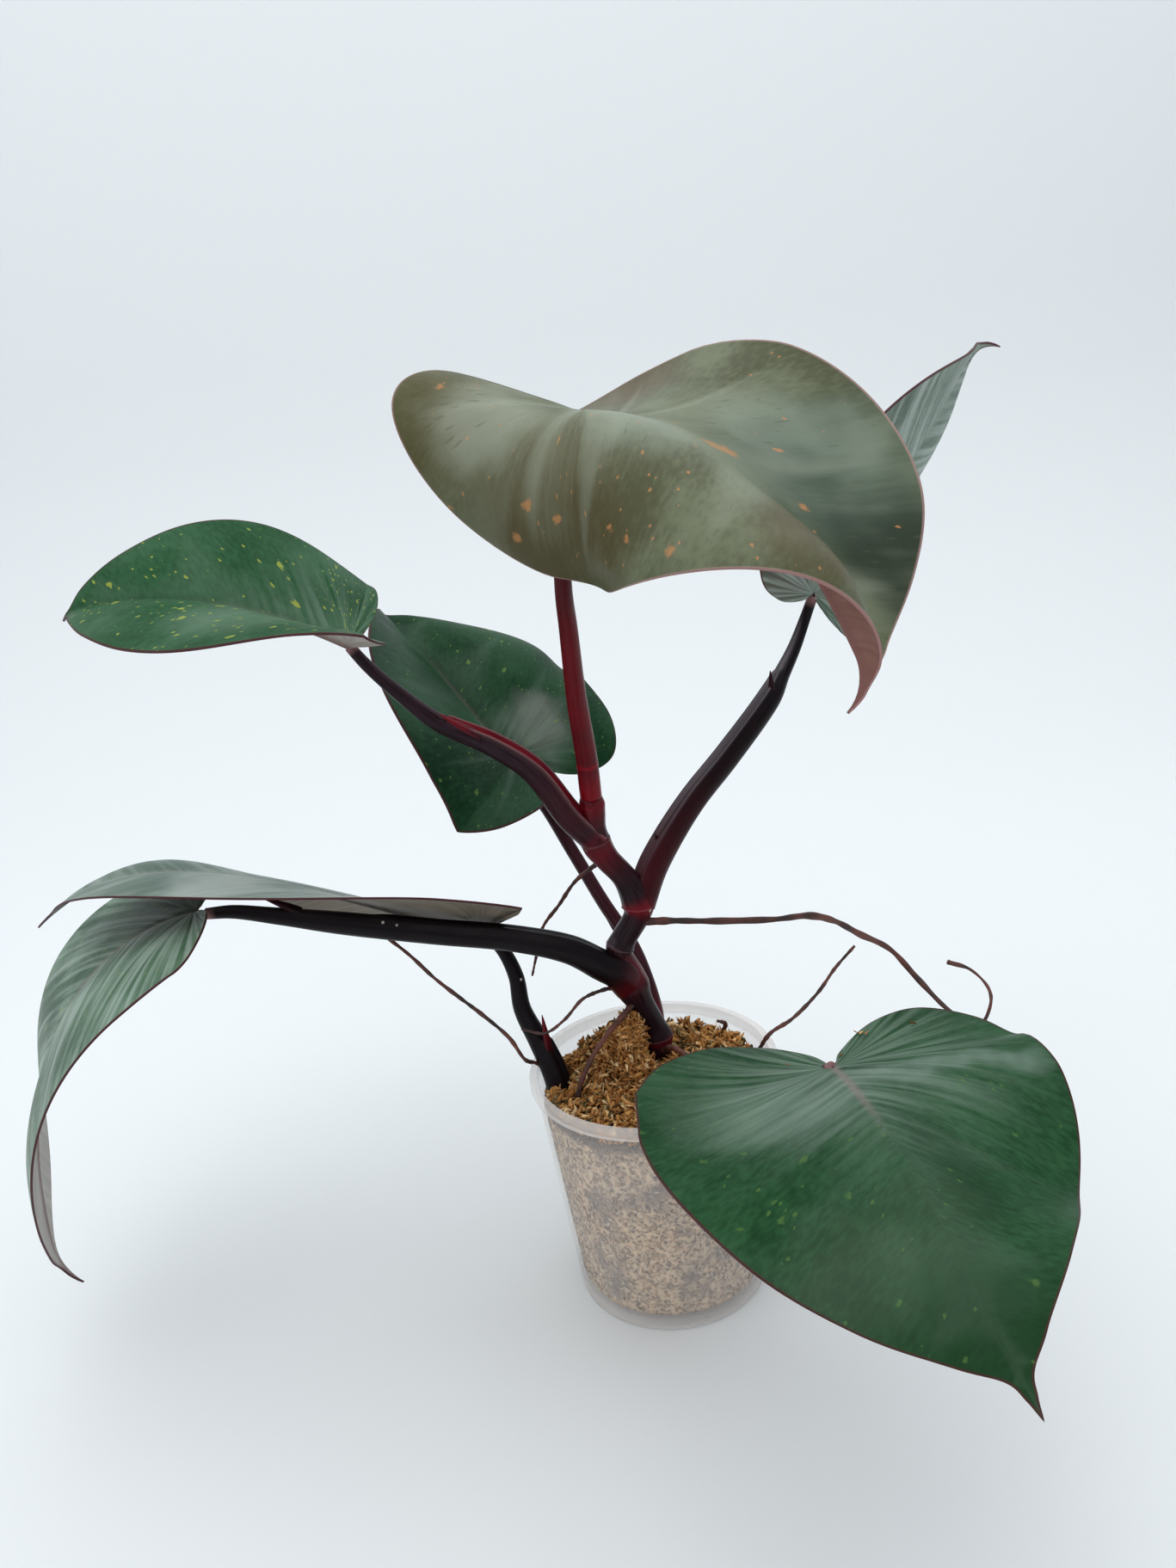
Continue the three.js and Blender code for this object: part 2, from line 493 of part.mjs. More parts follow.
let moss = toSolid(mossGeometry());
for (const room of [stemRoom, ...petioleRooms, ...rootRooms]) moss = moss.subtract(room);
addPiece('moss', toGeometry(moss), COLOURS.moss, 1);
addPiece('pot', potGeometry(), COLOURS.pot, 0.15, { transparent: true, opacity: 0.35 });

export default group;
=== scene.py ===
# %% [markdown]
# # A young philodendron in a clear nursery pot
# The plant has seven heart-shaped leaves on dark, glossy stalks, a zig-zag stem, thin aerial
# roots and a pot full of sphagnum moss. The solids come packed from the CAD step, as a fixed
# frame in metres. Each cell below adds one piece or one finish on top of that frame.

# %% Load the frame
import math

import bpy
import numpy as np
from mathutils import Matrix, Vector


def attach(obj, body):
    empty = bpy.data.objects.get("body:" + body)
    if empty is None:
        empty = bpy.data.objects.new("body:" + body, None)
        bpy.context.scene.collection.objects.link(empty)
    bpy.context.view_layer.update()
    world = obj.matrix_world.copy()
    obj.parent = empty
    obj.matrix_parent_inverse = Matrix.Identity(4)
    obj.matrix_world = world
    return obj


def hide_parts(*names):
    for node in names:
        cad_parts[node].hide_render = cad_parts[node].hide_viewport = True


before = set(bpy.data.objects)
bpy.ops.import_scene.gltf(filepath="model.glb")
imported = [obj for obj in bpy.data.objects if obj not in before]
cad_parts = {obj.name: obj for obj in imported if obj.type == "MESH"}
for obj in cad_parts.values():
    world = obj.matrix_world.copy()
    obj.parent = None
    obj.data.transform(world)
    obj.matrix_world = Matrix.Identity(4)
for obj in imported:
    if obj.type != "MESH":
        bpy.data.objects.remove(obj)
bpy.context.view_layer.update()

MM = 0.001
print("nodes in the frame:", len(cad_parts))

# %% [markdown]
# ## Small tools for colours
# Every material is a tree of shader nodes. A hex colour is what a picture editor shows, while
# shaders work in linear light, so one function turns the first into the second. Another adds a
# node with its settings and links, which keeps a material's cell down to what it does. A third
# lays one colour over another where a mask says so, as a painter glazes a picture.


# %% Colours and nodes
def colour(code):
    """An sRGB hex code as the linear colour that shaders work in."""
    channels = [int(code[i:i + 2], 16) / 255 for i in (0, 2, 4)]
    linear = [c / 12.92 if c <= 0.04045 else ((c + 0.055) / 1.055) ** 2.4 for c in channels]
    return (*linear, 1.0)


def add(tree, kind, inputs=None, **settings):
    """Adds a shader node. An input is a value, or the socket that it is linked from."""
    node = tree.nodes.new("ShaderNode" + kind)
    for name, value in settings.items():
        setattr(node, name, value)
    for name, value in (inputs or {}).items():
        if isinstance(value, bpy.types.NodeSocket):
            tree.links.new(value, node.inputs[name])
        else:
            node.inputs[name].default_value = value
    return node


def new_material(name):
    """A material with an empty node tree."""
    material = bpy.data.materials.new(name)
    material.use_nodes = True
    material.node_tree.nodes.clear()
    return material, material.node_tree


def lay(tree, skin, code, mask, reach=None, strength=1.0, curve="LINEAR"):
    """Lays a colour over the skin where a mask is white, or as it runs through a reach."""
    if reach:
        mask = add(tree, "MapRange", {
            "Value": mask, "From Min": reach[0], "From Max": reach[1], "To Max": strength},
            interpolation_type=curve).outputs[0]
    elif strength != 1:
        mask = add(tree, "Math", {0: mask, 1: strength}, operation="MULTIPLY").outputs[0]
    return add(tree, "Mix", {0: mask, 6: skin, 7: colour(code)}, data_type="RGBA").outputs[2]


def show(tree, **surface):
    """Ends a material with its surface: colour, gloss and bump."""
    inputs = {name.replace("_", " "): value for name, value in surface.items()}
    shader = add(tree, "BsdfPrincipled", inputs).outputs[0]
    add(tree, "OutputMaterial", {"Surface": shader})


print("colour tools ready")

# %% [markdown]
# ## Small tools for meshes
# Leaves, stalks, moss and backdrop all start as a flat grid whose vertices are then moved to
# their places, because a grid has even columns and rows to count by. These tools add a grid,
# read and move its vertices, keep numbers on them, close it, and hand the finished piece over.

# %% Grids and finished pieces
MERGE = 1e-6            # metres, vertices closer than this are one
UV_UNIT = 100           # millimetres in one unit of every UV map


def new_grid(name, columns, rows):
    """A flat grid, one metre across, with this many columns and rows of faces."""
    bpy.ops.object.select_all(action="DESELECT")
    bpy.ops.mesh.primitive_grid_add(x_subdivisions=columns, y_subdivisions=rows, size=1)
    sheet = bpy.context.object
    sheet.name = name
    return sheet


def read_points(piece):
    """A mesh's vertices, one row for each."""
    flat = np.empty(len(piece.data.vertices) * 3)
    piece.data.vertices.foreach_get("co", flat)
    return flat.reshape(-1, 3)


def place_points(piece, points):
    """Moves a mesh's vertices to these points, in metres."""
    piece.data.vertices.foreach_set("co", np.asarray(points, np.float32).ravel())
    piece.data.update()


def place_uv(piece, uv):
    """Gives each vertex its place on the UV map."""
    corner = np.empty(len(piece.data.loops), int)
    piece.data.loops.foreach_get("vertex_index", corner)
    piece.data.uv_layers.active.data.foreach_set("uv", uv[corner].ravel())


def store(piece, name, values):
    """Keeps one number for each vertex, for a material or a later cell to read."""
    layer = piece.data.attributes.new(name, "FLOAT", "POINT")
    layer.data.foreach_set("value", np.asarray(values, np.float32))


def recall(piece, name):
    """Reads such numbers back."""
    values = np.empty(len(piece.data.vertices))
    piece.data.attributes[name].data.foreach_get("value", values)
    return values


def edit(piece, *steps):
    """Runs edit-mode operators, each a function and its settings, on the whole mesh."""
    bpy.ops.object.select_all(action="DESELECT")
    bpy.context.view_layer.objects.active = piece
    piece.select_set(True)
    bpy.ops.object.mode_set(mode="EDIT")
    bpy.ops.mesh.select_all(action="SELECT")
    for operator, settings in steps:
        operator(**settings)
    bpy.ops.object.mode_set(mode="OBJECT")
    piece.select_set(False)


def close_up(piece):
    """Joins a rolled-up grid along its seam, caps its ends and points its faces outwards."""
    edit(piece, (bpy.ops.mesh.remove_doubles, {"threshold": MERGE}),
         (bpy.ops.mesh.fill_holes, {"sides": 0}),
         (bpy.ops.mesh.normals_make_consistent, {"inside": False}))


def smooth(piece):
    """Shades every face smooth."""
    piece.data.polygons.foreach_set("use_smooth", [True] * len(piece.data.polygons))


def finish_piece(piece, materials, node=None):
    """Gives a piece its materials and its body and, where it stands for a CAD node, hides that node.
    """
    # slots are filled by number, since clearing them would set every face back to the first
    while len(piece.data.materials) < len(materials):
        piece.data.materials.append(None)
    for number, material in enumerate(materials):
        piece.data.materials[number] = material
    smooth(piece)
    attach(piece, "root")
    if node:
        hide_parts(node)


print("mesh tools ready")

# %% [markdown]
# ## The camera
# The plant is seen from a little above, by a wide lens held close, which makes the leaves that
# reach toward the viewer large and the pot small. The lens, the tilt and the small roll were
# worked out from the pot's rim and foot, whose ellipses show the angle from which they are seen.

# %% Set the camera
CAMERA_PLACE = Vector((-11.5, -369.5, 304.2)) * MM
CAMERA_PITCH = math.radians(17.1)    # how far it looks down
CAMERA_ROLL = math.radians(6.6)      # how far it leans
FOCAL_PIXELS = 1370
FRAME_HEIGHT = 1823                  # pixels, the longer side of the frame
SENSOR = 36                          # millimetres

forward = Vector((0, math.cos(CAMERA_PITCH), -math.sin(CAMERA_PITCH)))
down = Vector((0, -math.sin(CAMERA_PITCH), -math.cos(CAMERA_PITCH)))
right = Vector((1, 0, 0))
view_right = math.cos(CAMERA_ROLL) * right + math.sin(CAMERA_ROLL) * down
view_up = math.sin(CAMERA_ROLL) * right - math.cos(CAMERA_ROLL) * down

lens = bpy.data.cameras.new("photo_lens")
lens.sensor_width = SENSOR
lens.lens = FOCAL_PIXELS / FRAME_HEIGHT * SENSOR
lens.clip_start = 0.01
camera = bpy.data.objects.new("photo_camera", lens)
bpy.context.scene.collection.objects.link(camera)
turn = Matrix((view_right, view_up, -forward)).transposed().to_4x4()
camera.matrix_world = Matrix.Translation(CAMERA_PLACE) @ turn
bpy.context.scene.camera = camera
print("lens", round(lens.lens, 2), "mm")

# %% [markdown]
# ## Blade shapes
# A blade is a heart with a drawn-out tip, hung on its midrib. The midrib leaves the stalk in
# some direction, droops, and twists. Each half then folds up or down from it and curls across
# its width. The same few numbers for each leaf drive the CAD solids, so a blade made here falls
# exactly on its solid, only finer. The outline is half a heart: its first number is a share of
# the half's width, its second a share of the blade's length, or of the lobe behind the stalk.

# %% The seven leaves
LEAVES = {
    "blade_a": dict(at=(-149.5, 6, 159.7), heading=186, pitch=-4, roll=-15, droop=(174, 1),
                    side=-10, twist=51, hook=38, length=167,
                    left=dict(width=49, lobe=8, fold=(-16, 5, 23), curl=(-2, -34), lift=33),
                    right=dict(width=43, lobe=2, fold=(16, 6, -23), curl=(2, 0), lift=-20)),
    "blade_b": dict(at=(75, 43.4, 237), heading=17, pitch=42, roll=-107, droop=(19, 19),
                    side=7, twist=-58, hook=-87, length=123,
                    left=dict(width=47, lobe=13, fold=(10, -4, -7), curl=(9, 11), lift=-9),
                    right=dict(width=31, lobe=3, fold=(34, 16, 32), curl=(-52, -49), lift=0)),
    "blade_c": dict(at=(-81.3, 0, 245.3), heading=190, pitch=33, roll=20, droop=(32, 99),
                    side=-2, twist=44, hook=22, length=99,
                    left=dict(width=43, lobe=8, fold=(40, 31, 31), curl=(-14, -17), lift=10),
                    right=dict(width=41, lobe=5, fold=(18, 18, 9), curl=(-27, -41), lift=20)),
    "blade_d": dict(at=(0.7, -50.8, 305.4), heading=-31, pitch=-3, roll=21, droop=(120, 7),
                    side=-11, twist=-7, hook=69, length=114,
                    left=dict(width=71, lobe=30, fold=(11, 3, 10), curl=(48, 93), lift=-11),
                    right=dict(width=64, lobe=48, fold=(-5, 9, 58), curl=(-161, -196), lift=32)),
    "blade_e": dict(at=(-39.1, 62.4, 186), heading=172, pitch=50, roll=23, droop=(-12, 50),
                    side=37, twist=-49, hook=12, length=81,
                    left=dict(width=66, lobe=17, fold=(37, 15, -4), curl=(-53, 22), lift=56),
                    right=dict(width=60, lobe=30, fold=(36, 52, 58), curl=(-55, -76), lift=-1)),
    "blade_f": dict(at=(-55.9, 19.2, 134.9), heading=200, pitch=26, roll=-4, droop=(-29, 181),
                    side=44, twist=22, hook=-14, length=177,
                    left=dict(width=36, lobe=2, fold=(30, 10, 4), curl=(-2, 2), lift=-2),
                    right=dict(width=46, lobe=21, fold=(3, -10, 6), curl=(-51, -56), lift=6)),
    "blade_g": dict(at=(46.7, -83.9, 127.1), heading=-84, pitch=13, roll=15, droop=(18, 123),
                    side=-3, twist=-47, hook=-33, length=112,
                    left=dict(width=56, lobe=14, fold=(15, -26, -29), curl=(0, 0), lift=46),
                    right=dict(width=58, lobe=21, fold=(-25, -12, -2), curl=(26, 7), lift=20)),
}
OUTLINE = np.array([
    (0, 0), (0.08, -0.44), (0.27, -0.87), (0.54, -1), (0.82, -0.62), (0.97, 0.02), (1, 0.2),
    (0.93, 0.39), (0.74, 0.585), (0.46, 0.75), (0.2, 0.865), (0.06, 0.92), (0.022, 0.96), (0, 1),
])
FIRST_SHARE = 1 / 20    # the outline starts at the edge of the notch behind the stalk
VEIN_LEAD = 0.25        # how far behind its end a side vein leaves the midrib, where widest
FOLD_END = 0.8          # share of the length past which the fold stays the same
LIFT_EASE = 0.3         # share of the lobe over which its lift sets in
HOOK_START = 0.86       # share of the midrib past which the drawn-out tip hooks down
MIDRIB_STEPS = 60
LEAST_BEND = 0.002      # stands in for a curl of nothing, in radians


def smooth_line(points, shares):
    """A smooth curve through points, at these shares of its spans."""
    points = np.vstack([2 * points[0] - points[1], points, 2 * points[-1] - points[-2]])
    spans = len(points) - 3
    position = np.clip(shares, 0, 1) * spans
    first = np.minimum(position.astype(int), spans - 1)
    t = (position - first)[..., None]
    a, b, c, d = (points[first + k] for k in range(4))
    return 0.5 * (2 * b + (c - a) * t + (2 * a - 5 * b + 4 * c - d) * t ** 2
                  + (3 * b - 3 * c + d - a) * t ** 3)


def midrib_frames(leaf):
    """Place, forward, across and normal at even steps along the midrib."""
    heading = math.radians(leaf["heading"])
    pitch = math.radians(leaf["pitch"])
    ahead = Vector((math.cos(pitch) * math.cos(heading), math.cos(pitch) * math.sin(heading),
                    math.sin(pitch)))
    across = Vector((math.sin(heading), -math.cos(heading), 0))
    across.rotate(Matrix.Rotation(-math.radians(leaf["roll"]), 3, ahead))
    place = Vector(leaf["at"])
    stride = leaf["length"] / MIDRIB_STEPS
    rows = []
    for step in range(MIDRIB_STEPS + 1):
        rows.append([tuple(place), tuple(ahead), tuple(across), tuple(across.cross(ahead))])
        place = place + ahead * stride / 2
        share = (step + 0.5) / MIDRIB_STEPS
        hook = leaf["hook"] / (1 - HOOK_START) if share > HOOK_START else 0
        droop = leaf["droop"][0] + (leaf["droop"][1] - leaf["droop"][0]) * share + hook
        ahead.rotate(Matrix.Rotation(-math.radians(droop) / MIDRIB_STEPS, 3, across))
        upward = across.cross(ahead)
        aside = Matrix.Rotation(-math.radians(leaf["side"]) / MIDRIB_STEPS, 3, upward)
        ahead.rotate(aside)
        across.rotate(aside)
        across.rotate(Matrix.Rotation(-math.radians(leaf["twist"]) / MIDRIB_STEPS, 3, ahead))
        place = place + ahead * stride / 2
    return np.array(rows)


def blade_place(leaf, frames, side, w, s):
    """Points w across from the midrib and s along it, and which way the upper face looks."""
    half = leaf["left"] if side < 0 else leaf["right"]
    share = np.clip(s / leaf["length"], 0, 1)
    position = share * MIDRIB_STEPS
    first = np.minimum(position.astype(int), MIDRIB_STEPS - 1)
    part = (position - first)[..., None, None]
    mixed = frames[first] * (1 - part) + frames[first + 1] * part
    place, ahead, across, normal = (mixed[..., k, :] for k in range(4))
    t = np.minimum(share / FOLD_END, 1)
    t = t * t * (3 - 2 * t)
    base, middle, tip = half["fold"]
    fold = np.radians(base * (1 - t) * (1 - 2 * t) + 4 * middle * t * (1 - t) + tip * t * (2 * t - 1))
    bend = np.radians(half["curl"][0] + (half["curl"][1] - half["curl"][0]) * share)
    bend = np.where(bend == 0, LEAST_BEND, bend)
    turned = bend * w / half["width"]
    out = half["width"] / bend * (np.sin(fold + turned) - np.sin(fold))
    lift = half["width"] / bend * (np.cos(fold) - np.cos(fold + turned))
    behind = np.minimum(s, 0)
    rise = behind ** 2 / (LIFT_EASE * half["lobe"] - behind)
    lift = lift + rise * math.sin(math.radians(half["lift"]))
    point = place + ahead * behind[..., None] + side * across * out[..., None]
    tilt = np.where(w > 0, fold + turned, 0)[..., None]
    up = normal * np.cos(tilt) - side * across * np.sin(tilt)
    return point + normal * lift[..., None], up


print("leaves:", len(LEAVES))

# %% [markdown]
# ## Blade relief
# A leaf is not a smooth sheet. The midrib lies in a groove on top and stands out below. Side
# veins leave it in pairs, and the skin between them bulges a little. Veins run from the midrib
# to the margin, so they are easy to write in the blade's own two coordinates: how far along the
# margin a vein ends, and how far out a point lies on it. A grid is added with as many columns
# and rows as those coordinates need, and its vertices are moved to their places on the leaf.
# Solidify then gives it the thickness of a real leaf.

# %% Build the blades
BLADE_THICKNESS = 0.7   # lengths here are in millimetres
HALF_COLUMNS = 30
BLADE_ROWS = 160
CROWDING = 0.75         # how strongly the columns crowd at the midrib and the margin
FIRST_VEIN = 0.1        # share of the margin where the first side vein ends
VEIN_STEP = 0.125       # share of the margin between two side veins
VEIN_STAGGER = 0.02     # one half's veins are moved on by this, and the other's back
VEIN_DEPTH = 0.3        # the groove over a side vein
VEIN_WIDTH = 1.3
QUILT_HEIGHT = 0.5      # the bulge between two side veins
CALM_SPAN = 20          # a half narrower than this has less relief
GROOVE_DEPTH = 0.55     # the groove over the midrib
GROOVE_WIDTH = 1.3
GROOVE_SPAN = 9         # a half narrower than this has a shallower groove
RIB_DEPTH = 1.0         # the midrib's ridge under the blade
RIB_WIDTH = 1.7
RIB_TAPER = 0.75        # share of its depth that the ridge loses on its way to the tip
RIB_END = 12            # the ridge runs out over the last twelfth of the blade
WAVE_HEIGHT = 0.7       # the gentle wave of the margin
WAVE_TURNS = 21         # radians of wave round one half
WAVE_SPAN = 30          # a half narrower than this waves less
LEAST_FAN = 0.1         # at the midrib the veins still lie this share of their spacing apart
VEIN_END = 3            # added at the margin to the distance from the nearest vein
TINY = 1e-9             # metres, keeps a length of nothing from dividing


def blade_sheet(name, leaf):
    """The blade's middle surface as a grid, with its vein coordinates kept for the materials."""
    sheet = new_grid(name + "_skin", 2 * HALF_COLUMNS, BLADE_ROWS - 1)
    flat = read_points(sheet)
    even = 2 * flat[:, 0]                                # -1 at the left margin, 1 at the right
    margin = FIRST_SHARE + (1 - FIRST_SHARE) * (flat[:, 1] + 0.5)
    side = np.where(even < 0, -1, 1)
    crowded = (1 - np.cos(math.pi * np.abs(even))) / 2
    out = CROWDING * crowded + (1 - CROWDING) * np.abs(even)

    edge = smooth_line(OUTLINE, margin)
    shares = np.linspace(0, 1, BLADE_ROWS)
    frames = midrib_frames(leaf)
    points = np.zeros_like(flat)
    values = {key: np.zeros(len(flat)) for key in ("rib", "edge", "station", "vein", "sinus")}
    uv = np.zeros((len(flat), 2))
    for sign, key in ((-1, "left"), (1, "right")):
        half = leaf[key]
        mine = side == sign
        width = np.maximum(edge[mine, 0], 0) * half["width"]
        reach = np.where(edge[mine, 1] < 0, half["lobe"], leaf["length"]) * edge[mine, 1]
        root = np.maximum(0, edge[mine, 1] - VEIN_LEAD * edge[mine, 0])
        c = out[mine]
        w = c * width
        s = root * leaf["length"] * (1 - c) + c * reach
        point, up = blade_place(leaf, frames, sign, w, s)
        line = np.hypot(width, reach - root * leaf["length"])    # midrib to margin, along a vein
        heart = smooth_line(OUTLINE, shares)
        behind = (half["width"], half["lobe"])
        heart *= np.where(heart[:, 1:] < 0, behind, (half["width"], leaf["length"]))
        run = np.insert(np.cumsum(np.hypot(*np.diff(heart, axis=0).T)), 0, 0)
        along = np.interp(margin[mine], shares, run)             # round the margin, to here
        vein = (margin[mine] - FIRST_VEIN - VEIN_STAGGER * sign) / VEIN_STEP
        off = (vein - np.round(vein)) * VEIN_STEP * run[-1]      # and from the nearest vein
        calm = np.sin(math.pi * c) * np.clip(line / CALM_SPAN, 0, 1)
        groove = np.exp(-(w / GROOVE_WIDTH) ** 2)
        wave = WAVE_TURNS * margin[mine] + 2 * sign
        relief = QUILT_HEIGHT * 0.5 * (1 - np.cos(2 * math.pi * vein)) * calm
        relief -= VEIN_DEPTH * np.exp(-(off * c / VEIN_WIDTH) ** 2) * calm
        relief -= GROOVE_DEPTH * groove * (1 - root) * np.clip(line / GROOVE_SPAN, 0, 1)
        relief += WAVE_HEIGHT * c ** 3 * np.sin(wave) * np.clip(line / WAVE_SPAN, 0, 1)
        points[mine] = point + up * relief[:, None]
        notch = (margin[mine] - FIRST_SHARE) * run[-1] * c + root * leaf["length"]
        values["rib"][mine] = w
        values["edge"][mine] = np.minimum((1 - c) * line, notch)
        values["station"][mine] = np.clip(s / leaf["length"], -0.3, 1)
        # the distance from a vein grows near the margin, so that its pale line of painted sheen ends
        # before it
        values["vein"][mine] = np.abs(off) * np.maximum(c, LEAST_FAN) + VEIN_END * c ** 4
        values["sinus"][mine] = np.hypot(w, s)
        uv[mine] = np.stack([along, sign * c * line], -1) / UV_UNIT
    place_points(sheet, points * MM)
    place_uv(sheet, uv)
    for key, value in values.items():
        store(sheet, key, value)
    return sheet


def thicken(sheet):
    """Merges the fanned veins at the stalk and the tip, gives the sheet its thickness and rib."""
    for _ in range(3):
        sheet.data.materials.append(None)       # slots for the top, the underside and the rim
    edit(sheet, (bpy.ops.mesh.remove_doubles, {"threshold": MERGE}))
    middle = read_points(sheet)
    upper = len(middle)
    wall = sheet.modifiers.new("leaf thickness", "SOLIDIFY")
    wall.thickness = BLADE_THICKNESS * MM
    wall.offset = 0
    wall.material_offset = 1
    wall.material_offset_rim = 2
    bpy.context.view_layer.objects.active = sheet
    bpy.ops.object.modifier_apply(modifier=wall.name)
    points = read_points(sheet)
    downward = points[upper:2 * upper] - middle
    downward /= np.maximum(np.linalg.norm(downward, axis=1, keepdims=True), TINY)
    taper = np.clip(1 - recall(sheet, "station")[:upper], 0, 1)
    ridge = RIB_DEPTH * np.exp(-(recall(sheet, "rib")[:upper] / RIB_WIDTH) ** 2)
    ridge *= 1 - RIB_TAPER + RIB_TAPER * taper
    ridge *= np.clip(taper * RIB_END, 0, 1)
    points[upper:2 * upper] += downward * ridge[:, None] * MM
    place_points(sheet, points)


blades = {}
for name, leaf in LEAVES.items():
    blades[name] = blade_sheet(name, leaf)
    thicken(blades[name])
print("blade faces:", sum(len(b.data.polygons) for b in blades.values()))

# %% [markdown]
# ## Leaf skin
# The upper face of such a leaf is deep green under a thin natural wax, in which the bright room
# is mirrored as a grey sheen, strongest round the stalk and in soft bands between the side veins.
# This cultivar is variegated: yellow-green or orange flecks, drawn out along the veins, are
# scattered over it in clusters. All of this follows the leaf, so it reads the UV map, which runs
# along the margin one way and along the veins the other, in units of 100 mm. The sheen is a
# painted reflection, laid on as a colour and not as a gloss, because a bright room mirrored in
# every dark leaf would turn them all grey.

# %% Patterns on the leaf
MIDDLE_GREY = (0.5, 0.5, 0.5)    # noise colours lie round it, so taking it off centres them
CLUSTERS = 34.0                  # for each metre: clusters of flecks are 30 mm apart


def drawn_out(tree, uv, wide, long, detail):
    """Noise whose grains are this many millimetres wide, and long along the veins."""
    along = add(tree, "Mapping", {"Vector": uv, "Scale": (UV_UNIT / wide, UV_UNIT / long, 1)})
    return add(tree, "TexNoise", {
        "Vector": along.outputs[0], "Scale": 1.0, "Detail": detail}).outputs["Fac"]


def frayed(tree, spot, grain, reach):
    """The place on the leaf, shaken by noise, so that a round mask gets a ragged edge."""
    noise = add(tree, "TexNoise", {
        "Vector": spot, "Scale": 1 / (grain * MM), "Detail": 1.0}).outputs["Color"]
    shake = add(tree, "VectorMath", {0: noise, 1: MIDDLE_GREY}, operation="SUBTRACT").outputs[0]
    shake = add(tree, "VectorMath", {0: shake, "Scale": reach * MM}, operation="SCALE").outputs[0]
    return add(tree, "VectorMath", {0: spot, 1: shake}, operation="ADD").outputs[0]


def patch(tree, skin, spot, code, at, radius, strength):
    """Lays a colour round a place on the leaf, in millimetres, fading out toward its radius."""
    away = add(tree, "VectorMath", {0: spot, 1: [v * MM for v in at]}, operation="DISTANCE")
    reach = (radius * MM, 0.3 * radius * MM)
    return lay(tree, skin, code, away.outputs["Value"], reach, strength, "SMOOTHSTEP")


def flecks(tree, uv, spot, wide, long, share, size):
    """Mask of uneven flecks, in a share of the cells of a lattice this wide and long."""
    lattice = add(tree, "Mapping", {
        "Vector": uv, "Scale": (UV_UNIT / wide, UV_UNIT / long, 1)}).outputs[0]
    wobble = add(tree, "TexNoise", {"Vector": lattice, "Scale": 3.0, "Detail": 3.0}).outputs["Color"]
    bent = add(tree, "VectorMath", {0: wobble, 1: MIDDLE_GREY}, operation="SUBTRACT").outputs[0]
    bent = add(tree, "VectorMath", {0: bent, 1: (0.5, 0.5, 0)}, operation="MULTIPLY").outputs[0]
    bent = add(tree, "VectorMath", {0: lattice, 1: bent}, operation="ADD").outputs[0]
    cells = add(tree, "TexVoronoi", {"Vector": bent, "Scale": 1.0}, voronoi_dimensions="2D")
    picks = add(tree, "SeparateColor", {0: cells.outputs["Color"]})
    # each cell has a fleck of its own size, round its middle
    reach = add(tree, "MapRange", {
        "Value": picks.outputs[1], "To Min": size * 0.3, "To Max": size}).outputs[0]
    left = add(tree, "Math", {0: reach, 1: cells.outputs["Distance"]}, operation="SUBTRACT").outputs[0]
    within = add(tree, "MapRange", {
        "Value": left, "From Max": size * 0.4}, interpolation_type="SMOOTHSTEP").outputs[0]
    # more cells are picked where the cluster noise is high
    cluster = add(tree, "TexNoise", {"Vector": spot, "Scale": CLUSTERS, "Detail": 1.0}).outputs["Fac"]
    wanted = add(tree, "MapRange", {
        "Value": cluster, "From Min": 0.4, "From Max": 0.62, "To Min": 1 - share * 0.35,
        "To Max": 1 - share * 1.6}).outputs[0]
    chosen = add(tree, "Math", {0: picks.outputs[0], 1: wanted}, operation="GREATER_THAN").outputs[0]
    return add(tree, "Math", {0: within, 1: chosen}, operation="MULTIPLY").outputs[0]


# %% Upper leaf skin
CLOUDS = 38.0                    # for each metre: soft clouds 26 mm wide
DASH = (1.3, 3.2)                # width and length in millimetres of the mottle's dashes
RAY = (3.2, 45)                  # of the rays of painted sheen at the stalk
STREAK = (4, 60)                 # of the streaks in the haze of painted sheen
DARK_STREAK = (2.6, 11)
FLECK = (5, 8)
DOT = (2.2, 3.2)


